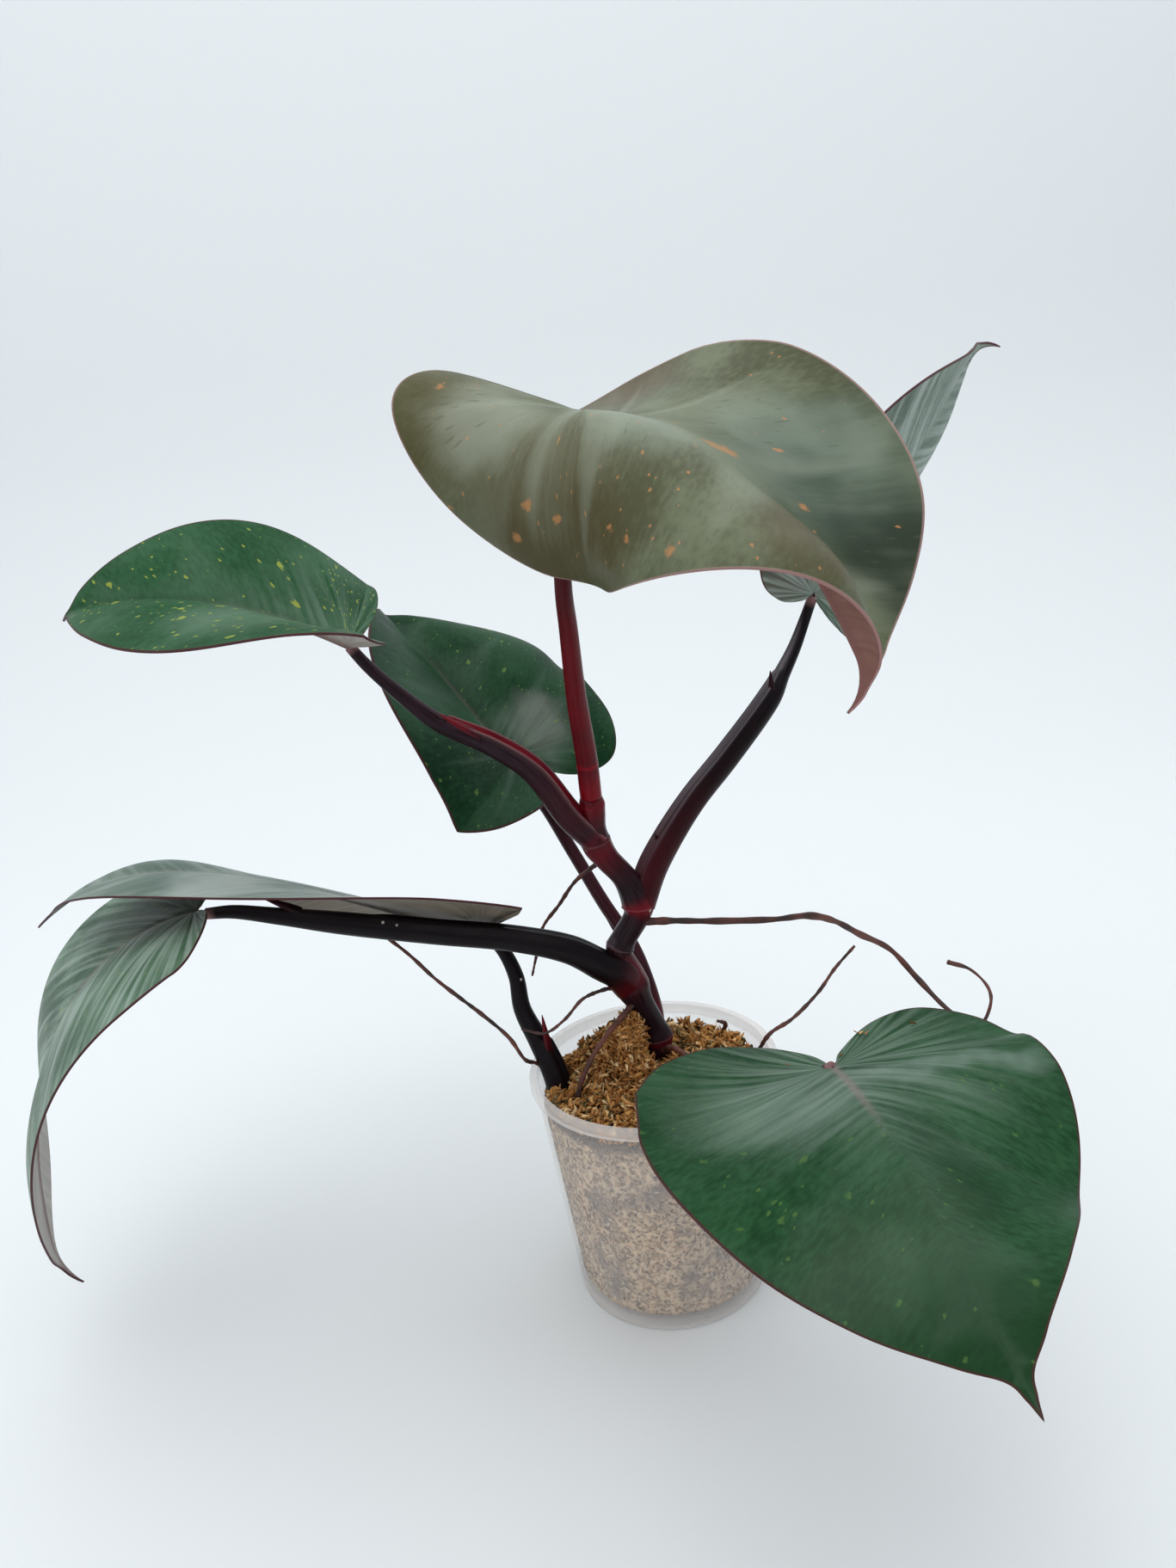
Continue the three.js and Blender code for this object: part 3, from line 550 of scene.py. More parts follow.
def leaf_skin(name, look):
    """Upper skin: mottled, with painted sheen at the stalk, in a haze and along the veins, flecked and
    edged.
    """
    material, tree = new_material(name)
    uv = add(tree, "UVMap", uv_map="UVMap").outputs["UV"]
    spot = add(tree, "TexCoord").outputs["Object"]
    near = {key: add(tree, "Attribute", attribute_name=key).outputs["Fac"]
            for key in ("rib", "edge", "vein", "sinus")}

    def glaze(skin, code, mask, reach=None, strength=1.0):
        """Lays a colour whose ends are soft."""
        return lay(tree, skin, code, mask, reach, strength, "SMOOTHSTEP")

    def both(first, second, reach, strength):
        """A mask that is white where the first is, and fades out as the second grows."""
        fade = add(tree, "MapRange", {
            "Value": second, "From Min": reach[0], "From Max": reach[1], "To Max": strength},
            interpolation_type="SMOOTHSTEP").outputs[0]
        return add(tree, "Math", {0: first, 1: fade}, operation="MULTIPLY").outputs[0]

    # mottle: short dashes along the veins over soft clouds, then broad tints, some of them painted
    # sheen and one a painted shadow
    dashes = drawn_out(tree, uv, *DASH, 3.0)
    clouds = add(tree, "TexNoise", {"Vector": spot, "Scale": CLOUDS, "Detail": 2.0}).outputs["Fac"]
    mottle = add(tree, "Math", {0: dashes, 1: clouds}, operation="ADD").outputs[0]
    skin = glaze(colour(look["deep"]), look["fresh"], mottle, (0.72, 1.28))
    loose = frayed(tree, spot, grain=14, reach=16)
    for code, at, radius, strength in look["tints"]:
        skin = patch(tree, skin, loose, code, at, radius, strength)

    # painted sheen: rays that fan out from the stalk, then a haze that is cloudy or drawn out
    rays = add(tree, "MapRange", {
        "Value": drawn_out(tree, uv, *RAY, 2.0), "From Min": 0.3, "From Max": 0.7},
        interpolation_type="SMOOTHSTEP").outputs[0]
    skin = glaze(skin, look["painted_sheen"], both(rays, near["sinus"], (look["stalk_sheen_reach"], 3), look["stalk_sheen"]))
    streaks = drawn_out(tree, uv, *STREAK, 3.0)
    haze = add(tree, "Mix", {0: look["drawn"], 2: clouds, 3: streaks}).outputs[0]
    skin = glaze(skin, look["painted_sheen"], haze, (0.4, 0.66), look["haze"])
    # pale lines of painted sheen along the side veins
    skin = glaze(skin, look["painted_sheen"], near["vein"], (2.6, 0.1), look["veins"])

    # dark streaks, then pale flecks, dots and the few large splashes
    dark = flecks(tree, uv, spot, *DARK_STREAK, look["streaks"], 0.26)
    skin = glaze(skin, look["deep"], dark, strength=0.35)
    for grain, share, size in ((FLECK, look["flecks"], 0.24), (DOT, look["dots"], 0.26)):
        mask = flecks(tree, uv, spot, *grain, share, size)
        skin = glaze(skin, look["fleck"], mask, strength=look["fleck_strength"])
    tight = frayed(tree, spot, grain=1.5, reach=2.5)
    for at, radius in look["splashes"]:
        skin = patch(tree, skin, tight, look["fleck"], at, radius, look["fleck_strength"])

    # midrib, as far as it shows, and the coloured margin
    rib = add(tree, "MapRange", {
        "Value": near["rib"], "From Min": 2.0, "From Max": 0.2, "To Max": look["rib_strength"]},
        interpolation_type="SMOOTHSTEP").outputs[0]
    shown = (look["rib_reach"], look["rib_reach"] * 0.3)
    skin = glaze(skin, look["rib"], both(rib, near["sinus"], shown, 1.0))
    skin = glaze(skin, look["margin"], near["edge"], (0.8, 0.2), look["margin_strength"])

    bump = add(tree, "Bump", {"Height": dashes, "Strength": 0.25, "Distance": 0.12 * MM}).outputs[0]
    show(tree, Base_Color=skin, Roughness=0.4, Normal=bump, Specular_IOR_Level=look["gloss"])
    return material


# %% Underside and margin
STRIPE = (2, 40)                 # width and length in millimetres of a pale stripe


def leaf_under(name, base, vein_tint, edge_tint):
    """Underside of the leaf: paler, matt, with the veins showing as soft stripes."""
    material, tree = new_material(name)
    uv = add(tree, "UVMap", uv_map="UVMap").outputs["UV"]
    rib = add(tree, "Attribute", attribute_name="rib").outputs["Fac"]
    edge = add(tree, "Attribute", attribute_name="edge").outputs["Fac"]
    stripes = drawn_out(tree, uv, *STRIPE, 4.0)
    skin = lay(tree, colour(base), vein_tint, stripes, (0.35, 0.7))
    skin = lay(tree, skin, edge_tint, rib, (2.4, 0.8), 0.7)
    skin = lay(tree, skin, edge_tint, edge, (1.2, 0.3), 0.8)
    bump = add(tree, "Bump", {"Height": stripes, "Strength": 0.3, "Distance": 0.15 * MM}).outputs[0]
    show(tree, Base_Color=skin, Roughness=0.5, Normal=bump, Specular_IOR_Level=0.3)
    return material


def leaf_margin(name, code):
    """The thin coloured line round the leaf."""
    material, tree = new_material(name)
    show(tree, Base_Color=colour(code), Roughness=0.5, Specular_IOR_Level=0.3)
    return material


print("leaf finishes ready")

# %% [markdown]
# ## A look for each leaf
# The leaves differ with age. The newest one is bronze olive with orange flecks and a salmon
# underside, and the oldest are grey-green and ribbed. A plain look holds what they share, and
# each leaf names only what is its own: colours, and how far its painted sheen and its flecks go.

# %% Looks of the leaves
# deep and fresh mottle a blade, and a painted sheen greys it round the stalk, as a haze and along the
# veins
# a tint is a colour, a place, a radius and a strength, and a splash a place and a radius
# under holds the underside's base, stripes and edge, and side is the blade's thin edge
PLAIN_LOOK = dict(
    slot="blade_green", deep="133a1d", fresh="275231", painted_sheen="8ea294", fleck="9da845",
    rib="6b645c", rib_strength=0.5, rib_reach=60.0, margin="4d2228", margin_strength=0.8,
    stalk_sheen=0.35, stalk_sheen_reach=50.0, haze=0.05, drawn=0.3, veins=0.08, tints=(), streaks=0.0,
    flecks=0.08, dots=0.08, fleck_strength=0.5, splashes=(), gloss=0.08,
    under=("7d7266", "90857a", "5a3336"), side="4a2025")
LOOKS = {
    "blade_a": dict(
        slot="blade_grey", deep="2f4f38", fresh="4f7355", painted_sheen="b3c4b9", rib="8d817b",
        margin="5c4243", haze=0.55, drawn=0.7, stalk_sheen=0.12, stalk_sheen_reach=60.0, veins=0.1, dots=0.14,
        rib_reach=400.0, gloss=0.2,
        # the first tint is a painted shadow round the stalk
        tints=[("16301d", (-158, 6, 158), 24, 0.9), ("2c5a36", (-158, -34, 153), 26, 0.8),
               ("8c877f", (-215, -14, 70), 34, 0.7)],
        under=("9b968f", "aeaaa3", "6e4a4b")),
    "blade_b": dict(
        slot="blade_grey", deep="36513c", fresh="647b69", painted_sheen="b6c1b8", rib="9aa297",
        haze=0.6, drawn=0.9, stalk_sheen=0.1, stalk_sheen_reach=90.0, veins=0.15, flecks=0.0, dots=0.03,
        rib_reach=400.0, gloss=0.2, tints=[("474536", (62, 30, 245), 26, 0.9)],
        under=("5d5a50", "77736a", "6e4a4b")),
    "blade_c": dict(
        deep="194626", fresh="2b5937", stalk_sheen=0.3, flecks=0.18, dots=0.2, rib="6f7f6c",
        # the tint is a painted sheen
        fleck_strength=0.75, gloss=0.06, tints=[("7d9381", (-109, -20, 260), 24, 0.25)],
        under=("8f857c", "a59a90", "6e4a4b")),
    "blade_d": dict(
        slot="blade_olive", deep="4b4f36", fresh="60674b", painted_sheen="9ba390", fleck="c28650",
        rib="8e9788", rib_strength=0.4, rib_reach=400.0, margin="b9908c", margin_strength=0.6,
        haze=0.16, stalk_sheen=0.15, stalk_sheen_reach=55.0, veins=0.3, streaks=0.35, flecks=0.02, dots=0.05,
        fleck_strength=0.6, gloss=0.14, under=("855a4e", "9c7062", "8f605a"), side="a87c78",
        tints=[("4f4225", (-14, -76, 278), 38, 0.65), ("57502f", (-45, -48, 305), 34, 0.6),
               ("354a3b", (60, -55, 282), 46, 0.8), ("1b2917", (74, -70, 262), 28, 0.85),
               ("5a5138", (46, -103, 273), 22, 0.7), ("5d4f3a", (12, 4, 312), 26, 0.7),
               # these four tints are painted sheen
               ("8f9a8a", (14, -66, 302), 20, 0.5), ("9aa08f", (-27, -57, 309), 20, 0.5),
               ("8a9887", (46, -37, 298), 22, 0.4), ("8a9887", (66, -38, 290), 20, 0.4)],
        splashes=[((29.8, -60.3, 294.5), 4), ((33.8, -59, 292.9), 4),
                  ((50.2, -68.3, 277), 2.2), ((-37.9, -46.1, 316.3), 1.7),
                  ((-18.6, -73.5, 285.9), 2.1), ((-11.7, -76.8, 281.9), 1.5),
                  ((-22.3, -69.1, 277.8), 1.8), ((0.8, -86, 279.1), 1.4),
                  ((4.1, -91.5, 276.9), 1.6), ((12.5, -103.7, 274.6), 2)]),
    "blade_e": dict(
        deep="10301b", fresh="1f462a", haze=0.03, stalk_sheen=0.3, stalk_sheen_reach=30.0, flecks=0.06,
        dots=0.14, fleck="6c8a45", fleck_strength=0.6, gloss=0.06,
        # the tint is a painted sheen by the stalk
        tints=[("8b8f88", (-24, 69, 196), 20, 0.45)]),
    "blade_f": dict(
        slot="blade_grey", deep="4a6055", fresh="63796c", painted_sheen="aab6ae", rib="8a8f88",
        margin="5c4243", haze=0.4, drawn=0.8, stalk_sheen=0.08, stalk_sheen_reach=80.0, veins=0.1, flecks=0.0,
        dots=0.04, rib_reach=400.0, gloss=0.2,
        tints=[("9b918a", (-83, -2, 158), 30, 0.7), ("4f4738", (-50, 0, 149), 34, 0.9),
               ("3f5c49", (-178, 10, 172), 34, 0.8), ("b4beb6", (-136, -8, 173), 24, 0.6)],
        under=("655d4e", "80776b", "4a3334")),
    "blade_g": dict(
        stalk_sheen=0.6, stalk_sheen_reach=62.0, veins=0.05, flecks=0.02, dots=0.06, fleck="5f8040",
        fleck_strength=0.45, haze=0.03, rib="8a7b78", rib_strength=0.6, rib_reach=46.0,
        # all but the dark tint are painted sheen: patches low on the blade and by the stalk, and a row
        # along the fold
        tints=[("5d6b5c", (35, -158, 120), 24, 0.25), ("5d6b5c", (54, -150, 127), 20, 0.15),
               ("16351a", (60, -174, 112), 32, 0.7),
               ("8fa398", (30.7, -100.3, 127.5), 26, 0.2), ("6f8372", (13.6, -100.5, 126.0), 20, 0.25)]
        + [("9db0a6", (x, -92.5, 129.7), 8, 0.16) for x in range(56, 102, 6)],
        splashes=[((37.3, -139.8, 127.8), 1.3), ((11.3, -142.8, 124.5), 1.2),
                  ((49.7, -124.5, 132.2), 0.9), ((6, -119.1, 126.8), 1.2),
                  ((16.2, -118.5, 126.8), 1.1), ((84.9, -116.1, 121.9), 1.2),
                  ((70.6, -164.5, 120), 1.6), ((41.4, -164.3, 118.3), 1)]),
}
for name, blade in blades.items():
    look = {**PLAIN_LOOK, **LOOKS[name]}
    skins = [
        leaf_skin("waxy_leaf_" + name, look),
        leaf_under("leaf_underside_" + name, *look["under"]),
        leaf_margin("leaf_margin_" + name, look["side"]),
    ]
    finish_piece(blade, skins, name)
print("leaf materials:", 3 * len(blades))

# %% [markdown]
# ## Tubes: stem, stalks and roots
# Stems and stalks are long round forms whose thickness changes on the way. A bevelled curve
# would do, but it can't carry a groove, a ring or a colour that changes along the stalk. So a
# grid is added here as well, with one column for each step round the tube, and it is rolled up
# along a smooth path. The path is the one that the solids follow: it runs through stations, each
# a place and a radius in millimetres.

# %% Roll a grid along a path
STEM = [
    (1, 14, 62, 4.2), (2, 14, 76, 4.6), (3, 14, 85, 5.2), (3, 14, 88, 5.6), (2, 14, 92, 4.7),
    (-2, 13, 103, 4.9), (-4, 13, 109, 6.4), (-5, 13, 114, 5.6), (-7, 12, 122, 4.6),
    (-7, 12, 125, 5), (-5, 12, 129, 4.5), (0, 11, 137, 4.6), (1, 11, 141, 5.6),
    (0, 11, 146, 5.2), (-3, 10, 153, 4.3), (-8, 10, 160, 4.4), (-11, 10, 166, 5.2),
    (-11.5, 9, 172, 4.4), (-11, 8, 178, 4.2), (-11, 8, 181, 4.4), (-11, 7, 184, 3.6),
]
PETIOLES = {
    "petiole_a": [(-5, 13, 110, 6.2), (-9, 10, 117, 6), (-14, 8, 121, 5.4), (-24, 6, 129, 4.9),
                  (-42, 5, 136, 4.4), (-71, 4, 143, 4.2), (-100, 4, 150, 4), (-122, 5, 155, 3),
                  (-137, 6, 158, 2.4), (-146, 6, 158.4, 2)],
    "petiole_b": [(2, 11, 141, 5), (7, 14, 152, 5.2), (13, 16, 161, 5), (24, 20, 174, 4.6),
                  (38, 25, 187, 4.4), (55, 32, 204, 4), (61, 38, 211, 3), (67, 43, 219, 2.4),
                  (72, 46, 228.4, 2), (74.8, 44, 236.4, 1.8)],
    "petiole_c": [(-11, 10, 167, 4.8), (-19, 6, 178, 4.6), (-29, 3, 196, 4), (-41, 1, 207, 3.6),
                  (-57, 0, 217, 3), (-70, 0, 230, 2.3), (-77, 1, 238, 2), (-81.1, 0.4, 244.4, 1.8)],
    "petiole_d": [(-11, 6.88, 184.35, 3.7), (-11, 2, 198, 3.6), (-12, -12, 223, 3.2),
                  (-12, -27, 246, 2.8), (-12, -38, 261, 2.5), (-10, -46, 281, 2.3),
                  (-5, -50, 296, 2.1), (0.2, -50.8, 304.7, 1.8)],
    "petiole_e": [(2, 17, 84, 4), (3, 24, 92, 3.6), (1, 31, 104, 3.2), (-2, 36, 114, 2.8),
                  (-11, 44, 130, 2.6), (-20, 53, 147.5, 2.5), (-29.7, 60, 166.9, 2.4),
                  (-37.2, 63.4, 177.2, 2.2), (-39, 62.6, 185.2, 1.8)],
    "petiole_f": [(-30, -1, 62, 4), (-33.5, 1, 74, 4.2), (-35.8, 4, 85, 4.2), (-39.5, 6, 96, 3.8),
                  (-44, 10, 107, 3.2), (-45, 14, 118, 2.8), (-49, 17, 128, 2.4),
                  (-55.4, 18.9, 134.7, 2)],
    "petiole_g": [(11, -1, 62, 4.2), (15, -9, 76, 4), (21, -23, 90, 3.7), (29, -43, 102, 3.3),
                  (37, -64, 113, 2.7), (43, -79, 122, 2.2), (46.3, -84, 126.9, 1.9)],
}


def rounded_path(stations, shares):
    """The path through stations at these shares of its spans: points and radii."""
    stations = np.array(stations, float)
    ends = np.vstack([2 * stations[0] - stations[1], stations, 2 * stations[-1] - stations[-2]])
    spans = len(stations) - 1
    position = shares * spans
    first = np.minimum(position.astype(int), spans - 1)
    t = (position - first)[:, None]
    a, b, c, d = (ends[first + k, :3] for k in range(4))
    step_0, step_1, step_2 = (
        np.sqrt(np.linalg.norm(q - p, axis=1))[:, None] for p, q in ((a, b), (b, c), (c, d)))
    leave = ((b - a) / step_0 - (c - a) / (step_0 + step_1) + (c - b) / step_1) * step_1
    arrive = ((c - b) / step_1 - (d - b) / (step_1 + step_2) + (d - c) / step_2) * step_1
    points = (b + leave * t + (3 * c - 3 * b - 2 * leave - arrive) * t ** 2
              + (2 * b - 2 * c + leave + arrive) * t ** 3)
    radii = smooth_line(stations[:, 3:], shares)[:, 0]
    return points, radii


def path_frames(points, facing):
    """Across and up vectors along a path. up starts as near as it can to facing."""
    ahead = np.gradient(points, axis=0)
    ahead /= np.linalg.norm(ahead, axis=1, keepdims=True)
    up = np.array(facing, float)
    ups = []
    for way in ahead:
        up = up - way * np.dot(up, way)
        up /= np.linalg.norm(up)
        ups.append(up)
    ups = np.array(ups)
    return np.cross(ahead, ups), ups


def tube(name, stations, sides, rings, facing=(0, 0, 1), shape=None):
    """A grid rolled up along the stations. shape changes the radii, given angle and share."""
    piece = new_grid(name, sides, rings)
    flat = read_points(piece)
    column = np.round((flat[:, 0] + 0.5) * sides).astype(int)
    row = np.round((flat[:, 1] + 0.5) * rings).astype(int)
    shares = np.linspace(0, 1, rings + 1)
    centres, radii = rounded_path(stations, shares)
    across, ups = path_frames(centres, facing)
    angle = 2 * math.pi * (column % sides) / sides       # 0 is where facing points
    turn = np.where(angle > math.pi, angle - 2 * math.pi, angle)
    radius = radii[row]
    if shape:
        radius = radius * shape(turn, shares[row])
    points = (centres[row] + ups[row] * (radius * np.cos(angle))[:, None]
              + across[row] * (radius * np.sin(angle))[:, None])
    place_points(piece, points * MM)
    walked = np.concatenate([[0], np.cumsum(np.linalg.norm(np.diff(centres, axis=0), axis=1))])
    uv = np.stack([column / sides * 2 * math.pi * radii.mean(), walked[row]], -1) / UV_UNIT
    place_uv(piece, uv)
    store(piece, "share", shares[row])
    store(piece, "turn", turn)
    close_up(piece)
    return piece


print("tube tool ready")

# %% [markdown]
# ## Stalks with their sheaths
# A philodendron's stalk starts as a sheath: two low wings that once wrapped the younger leaf.
# They run up the stalk's upper side with a groove between them, and end in a small tooth. The
# wings are part of the tube's section here, raised at two angles and fading where they end. A
# tooth stands free of the stalk, so each is a small flat tube of its own. The stem is a tube
# too, with a fine ring wherever an old leaf sat.

# %% Build stem and stalks
SHEATHS = {              # where the wings end, how high they stand, and the way they face
    "petiole_a": dict(to=0.62, height=0.16, facing=(0, -0.2, 1)),
    "petiole_b": dict(to=0.66, height=0.2, facing=(-1, -0.55, 0.6)),
    "petiole_c": dict(to=0.56, height=0.3, facing=(0.3, -0.45, 1)),
    "petiole_d": dict(to=0.3, height=0.06, facing=(-0.6, -1, 0)),
    "petiole_e": dict(to=0.45, height=0.14, facing=(-1, -0.3, 0.3)),
    "petiole_f": dict(to=0.42, height=0.24, facing=(1, -0.6, 0)),
    "petiole_g": dict(to=0.4, height=0.12, facing=(0, 0, 1)),
}
WING_ANGLE = 0.5         # radians from the groove to each wing's crest
WING_WIDTH = 0.26
WING_FOOT = 0.4          # share of their height that the wings have at the stalk's foot
WING_FADE = 0.03         # share of the stalk over which they end
GROOVE_SHARE = 0.9       # width and depth of the groove, as a share of the wings'
FLAT_DEPTH = 0.05        # past the sheath the upper side is a little flat
FLAT_WIDTH = 0.5         # radians


def sheath_shape(to, height):
    """How a sheathed stalk's radius changes round and along it."""
    def shape(angle, share):
        fade = np.clip((to + WING_FADE / 2 - share) / WING_FADE, 0, 1)
        fade = fade * (WING_FOOT + (1 - WING_FOOT) * share / to)
        wings = np.exp(-((np.abs(angle) - WING_ANGLE) / WING_WIDTH) ** 2)
        groove = np.exp(-(angle / (WING_WIDTH * GROOVE_SHARE)) ** 2)
        upper = FLAT_DEPTH * np.exp(-(angle / FLAT_WIDTH) ** 2) * (share > to)
        return 1 + fade * height * (wings - GROOVE_SHARE * groove) - upper
    return shape


STEM_RINGS = (0.145, 0.46, 0.6, 0.81)    # shares along the stem, where old leaves sat
RING_HEIGHT = 0.05                       # share of the stem's radius
RING_WIDTH = 0.004                       # share of the stem's length
RIB_HEIGHT = 0.012
RIBS = 9


def stem_shape(angle, share):
    """Fine rings where old leaves sat, and faint ribs that wind a little on their way up."""
    rings = sum(np.exp(-((share - at) / RING_WIDTH) ** 2) for at in STEM_RINGS)
    return 1 + RING_HEIGHT * rings + RIB_HEIGHT * np.sin(RIBS * angle + 14 * share)


STALK_SIDES = 40
STALK_RINGS = 200
STEM_STEPS = 260
stem = tube("stem_skin", STEM, STALK_SIDES, STEM_STEPS, facing=(0, -1, 0), shape=stem_shape)
stalks = {}
for name, stations in PETIOLES.items():
    sheath = SHEATHS[name]
    stalks[name] = tube(name + "_skin", stations, STALK_SIDES, STALK_RINGS, facing=sheath["facing"],
                        shape=sheath_shape(sheath["to"], sheath["height"]))
print("stalks:", len(stalks))

# %% Teeth where the wings end
SHEATH_TIPS = {          # place, then the way and length of each tooth
    "petiole_a": [(-117, 4, 158, -9, 0, 5)],
    "petiole_b": [(56, 31, 206.5, -0.3, -1, 8), (10.5, 15, 162, -1, -1, 3.5)],
    "petiole_c": [(-47.5, -2, 213.5, -8.8, -1, 6.9)],
    "petiole_f": [(-36.2, 2.5, 96, -0.6, -1, 12)],
}
TOOTH_STEPS = [(-0.4, 1.7), (0, 1.6), (0.45, 1.1), (0.85, 0.5), (1, 0.15)]    # share, radius
TOOTH_SIDES = 16
TOOTH_RINGS = 24


def tooth_shape(angle, share):
    """Flattens a tooth, like the scrap of leaf that it is."""
    return 0.55 + 0.45 * np.abs(np.sin(angle))


teeth = []
for name, tips in SHEATH_TIPS.items():
    for tip in tips:
        foot = np.array(tip[:3])
        way = np.array(tip[3:])
        steps = [(*(foot + way * share), radius) for share, radius in TOOTH_STEPS]
        teeth.append((name, tube(name + "_tooth", steps, TOOTH_SIDES, TOOTH_RINGS,
                                 facing=SHEATHS[name]["facing"], shape=tooth_shape)))
print("teeth:", len(teeth))

# %% [markdown]
# ## Stalk skin
# The stalks are smooth and waxy, so dark an aubergine that they look black, and they blush to
# crimson where they are young: at the nodes, inside the sheath and on the newest leaf's stalk.
# The blush is a number kept for each vertex, worked out from where the vertex is along the
# stalk and round it. Two more such numbers say where the skin is pale, as at leaf scars and
# under a blade, and where a painted highlight runs along the side that faces the light. Moss
# leaves a few pale specks of dust.

# %% Stalk skin
STALK_CLOUDS = 90.0      # for each metre: clouds 11 mm wide
SPECKS = 210.0           # for each metre: a lattice of 5 mm, with one speck in a cell
PALE_SKIN = "ac7f7e"
# colour of the painted highlight along the side of a stalk that faces the light
HIGHLIGHT_COLOUR = "a8a0a8"
DUST = "d9d0c4"


def stalk_skin(name, dark, lit, crimson, speck_share, painted_sheen):
    """Waxed stalk: dark with fine lighter streaks, crimson where its blush value is high, and a
    painted highlight where it faces the light.
    """
    material, tree = new_material(name)
    uv = add(tree, "UVMap", uv_map="UVMap").outputs["UV"]
    spot = add(tree, "TexCoord").outputs["Object"]
    blush, pale, painted_highlight = (add(tree, "Attribute", attribute_name=key).outputs["Fac"]
                          for key in ("blush", "pale", "painted_highlight"))
    streaks = drawn_out(tree, uv, 0.7, 14, 4.0)
    clouds = add(tree, "TexNoise", {
        "Vector": spot, "Scale": STALK_CLOUDS, "Detail": 2.0}).outputs["Fac"]
    skin = lay(tree, colour(dark), lit, streaks, (0.35, 0.7))
    uneven = add(tree, "MapRange", {
        "Value": clouds, "From Min": 0.3, "From Max": 0.7, "To Min": 0.75, "To Max": 1.15}).outputs[0]
    amount = add(tree, "Math", {0: blush, 1: uneven}, operation="MULTIPLY", use_clamp=True).outputs[0]
    skin = lay(tree, skin, crimson, amount)
    skin = lay(tree, skin, PALE_SKIN, pale)
    # a painted highlight, along the side of the stalk that faces the light
    skin = lay(tree, skin, HIGHLIGHT_COLOUR, painted_highlight, strength=painted_sheen)

    # specks of dust, 1 mm across, in a share of the cells
    cells = add(tree, "TexVoronoi", {"Vector": spot, "Scale": SPECKS})
    grain = add(tree, "MapRange", {
        "Value": cells.outputs["Distance"], "From Min": 0.14, "From Max": 0.08}).outputs[0]
    pick = add(tree, "SeparateColor", {0: cells.outputs["Color"]}).outputs[0]
    chosen = add(tree, "Math", {0: pick, 1: 1 - speck_share}, operation="GREATER_THAN").outputs[0]
    specks = add(tree, "Math", {0: grain, 1: chosen}, operation="MULTIPLY").outputs[0]
    skin = lay(tree, skin, DUST, specks)

    rough = add(tree, "MapRange", {
        "Value": clouds, "From Min": 0.3, "From Max": 0.7, "To Min": 0.3, "To Max": 0.45}).outputs[0]
    bump = add(tree, "Bump", {"Height": streaks, "Strength": 0.2, "Distance": 0.1 * MM}).outputs[0]
    show(tree, Base_Color=skin, Roughness=rough, Normal=bump, Specular_IOR_Level=0.14)
    return material


aubergine = stalk_skin("waxed_stalk_aubergine", "080406", "170c12", "6b0d1b", 0.1, 0.3)
plum = stalk_skin("waxed_stalk_plum", "170b10", "35202a", "7a0f1e", 0.03, 0.35)
crimson_stalk = stalk_skin("waxed_stalk_crimson", "1a080c", "371016", "860a1a", 0.02, 0.3)
stem_bark = stalk_skin("stem_skin_plum", "140a0e", "2e1a22", "7d0f1f", 0.16, 0.3)
print("stalk materials: 4")

# %% Blush, scars and wax on stem and stalks
BLUSHES = {              # share along the stalk, half width, strength
    "petiole_a": [(0.02, 0.08, 0.55)],
    "petiole_b": [(0.0, 0.04, 0.6), (0.12, 0.22, 0.3)],
    "petiole_c": [(0.0, 0.05, 0.6), (0.15, 0.15, 0.12)],
    "petiole_d": [(0.0, 0.13, 0.95), (0.135, 0.008, 1.3), (0.3, 0.3, 0.5), (0.9, 0.3, 0.3)],
    "petiole_e": [(0.1, 0.1, 0.4), (0.45, 0.3, 0.15)],
    "petiole_f": [(0.0, 0.02, 0.2)],
    "petiole_g": [(0.1, 0.1, 0.3)],
}
STEM_BLUSHES = [(0.125, 0.02, 0.5), (0.36, 0.05, 0.5), (0.6, 0.03, 0.8), (0.78, 0.05, 0.5),
                (0.95, 0.07, 0.9)]
TOOTH_BLUSH = {"petiole_a": 0.2, "petiole_b": 0.15, "petiole_c": 0.9, "petiole_f": 1.0}
COLLAR_START = 0.95      # share of the stalk past which it pales, under its blade
COLLAR_EASE = 0.04
COLLAR_PALE = 0.6
INSIDE_BLUSH = 0.95
INSIDE_WIDTH = 0.75      # how far the blush between the wings reaches towards their crests
CREST_PALE = 0.45
CREST_WIDTH = 0.1        # radians
SCAR_PALE = 0.25
SCAR_WIDTH = 0.0025      # share of the stem's length
LIGHT_WAY = np.array(Vector((-0.35, -0.5, 0.8)).normalized())     # towards the light: the painted highlight lies where the skin faces this way
HIGHLIGHT_EDGE = 14          # the higher, the narrower the painted highlight


